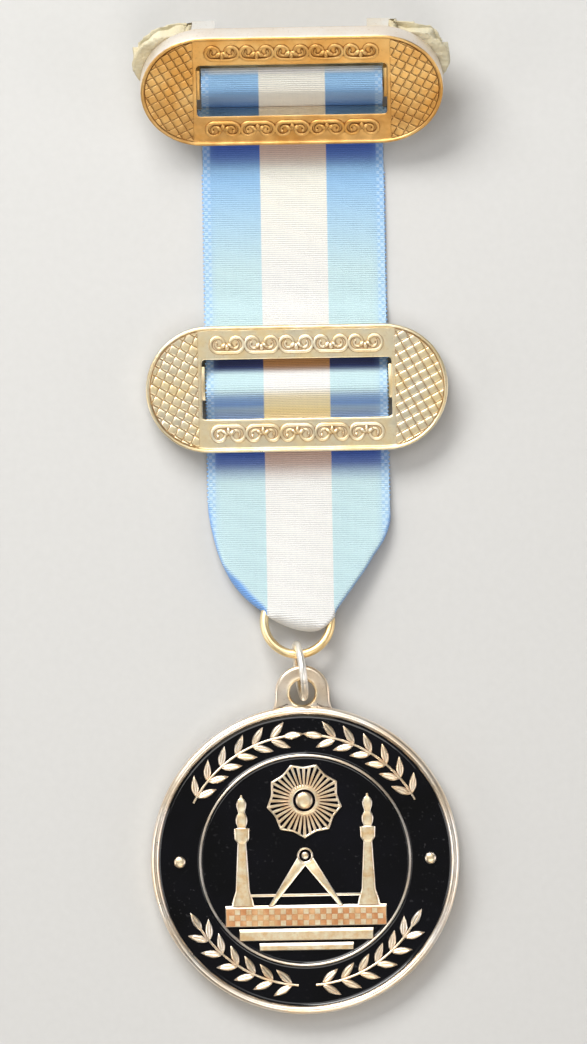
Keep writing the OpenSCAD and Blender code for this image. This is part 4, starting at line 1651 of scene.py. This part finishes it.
def makePin():
    shape = bmesh.new()
    width, middle, foot = pinLook["width"], pinLook["middle"], pinLook["foot"]
    half = (pinLook["length"] - width) / 2
    high, low, wireLow = pinLook["plateTop"], pinLook["plateTop"] - pinLook["plate"], pinLook["wireLow"]
    outline = []
    for side in (1, -1):
        ends = (polar(width / 2, a, (half, 0)) for a in arc(-90, 90, 16))
        outline += [(side * x, side * y + middle) for x, y in ends]
    addInset(shape, outline, [
        (0.12, low), (0.03, low + 0.04), (0, low + 0.14), (0, high - 0.14), (0.03, high - 0.04), (0.12, high),
    ])
    bottom = pinLook["low"]
    for side, radius in ((-1, pinLook["barrel"]), (1, pinLook["roll"])):
        left = min(side * half, side * (half - foot))
        for up in (-1, 1):
            near = middle + up * width / 2
            lower, upper = sorted((near, near - up * pinLook["cheek"]))
            cheek = rectanglePoints(left, left + foot, lower, upper)
            addInset(shape, cheek, [(0.2, bottom), (0.05, bottom + 0.12), (0, bottom + 0.4), (0, low + 0.1)])
        x, reach = side * (half - foot / 2), width / 2 - 0.2
        addLoft(shape, [
            [(x + a, middle + t * reach, wireLow + b) for a, b in circlePoints(radius * k, 20)]
            for t, k in ((-1.0, 0.8), (-0.94, 1), (0.94, 1), (1.0, 0.8))
        ])
    reach, wire = half - foot / 2, pinLook["wire"] / 2
    addLoft(shape, [
        [(x, middle + a, wireLow + b) for a, b in circlePoints(wire * k, 20)]
        for x, k in ((-reach, 1), (reach * 0.55, 1), (reach * 0.8, 0.85), (reach + 1.1, 0.25))
    ])
    dress(finishPiece("broochPin", shape, topPlace, gilt["wireSilver"]), "plated_wire", "brooch_pin")


makePin()
print("pin ready")


# Pale floor and soft studio light: each lamp's power, size, place and colour, aimed at the origin

worldStrength = 0.12
lampLooks = {
    "key": (6.4, (0.50, 0.28), (-0.24, 0.50, 0.44), (1.0, 0.99, 0.97)),
    "top": (1.6, (0.6, 0.34), (-0.05, 0.30, 0.80), (1.0, 1.0, 1.0)),
    "front": (1.9, (0.6, 0.3), (0.05, -0.40, 0.75), (1.0, 0.98, 0.95)),
    "low": (0.6, (0.5, 0.16), (0.12, -0.60, 0.30), (1.0, 0.80, 0.55)),
    "left": (1.0, (0.4, 0.3), (-0.58, -0.10, 0.26), (1.0, 0.97, 0.95)),
    "right": (0.9, (0.4, 0.3), (0.58, -0.10, 0.26), (1.0, 0.95, 0.97)),
}


def makeLights():
    world = bpy.data.worlds.new("studio")
    world.use_nodes = True
    studio = world.node_tree.nodes["Background"]
    setInputs(world.node_tree, studio, {"Color": (1.0, 1.0, 1.0), "Strength": worldStrength})
    bpy.context.scene.world = world
    bpy.context.scene.view_settings.view_transform = "Standard"
    for name, (power, size, spot, colour) in lampLooks.items():
        data = bpy.data.lights.new(name + "Light", "AREA")
        data.shape = "RECTANGLE"
        data.size, data.size_y = size
        data.energy, data.color = power, colour
        lamp = newObject(name + "Light", data)
        lamp.location = spot
        lamp.rotation_euler = (-Vector(spot)).to_track_quat("-Z", "Y").to_euler()


def makeFloor():
    material, tree, shader = newMaterial("paleFloor")
    grain = noiseOf(tree, objectPlace(tree), 900.0, 4.0)
    colour = mixColour(tree, grain, (0.50, 0.50, 0.49), (0.54, 0.54, 0.53))
    setInputs(tree, shader, {"Base Color": colour, "Roughness": 0.8})
    mesh, reach = bpy.data.meshes.new("floor"), 1.5
    corners = [(x, y, 0) for x, y in rectanglePoints(-reach, reach, -reach, reach)]
    mesh.from_pydata(corners, [], [(0, 1, 2, 3)])
    mesh.materials.append(material)
    floor = newObject("floor", mesh)


makeLights()
makeFloor()
print("light ready")
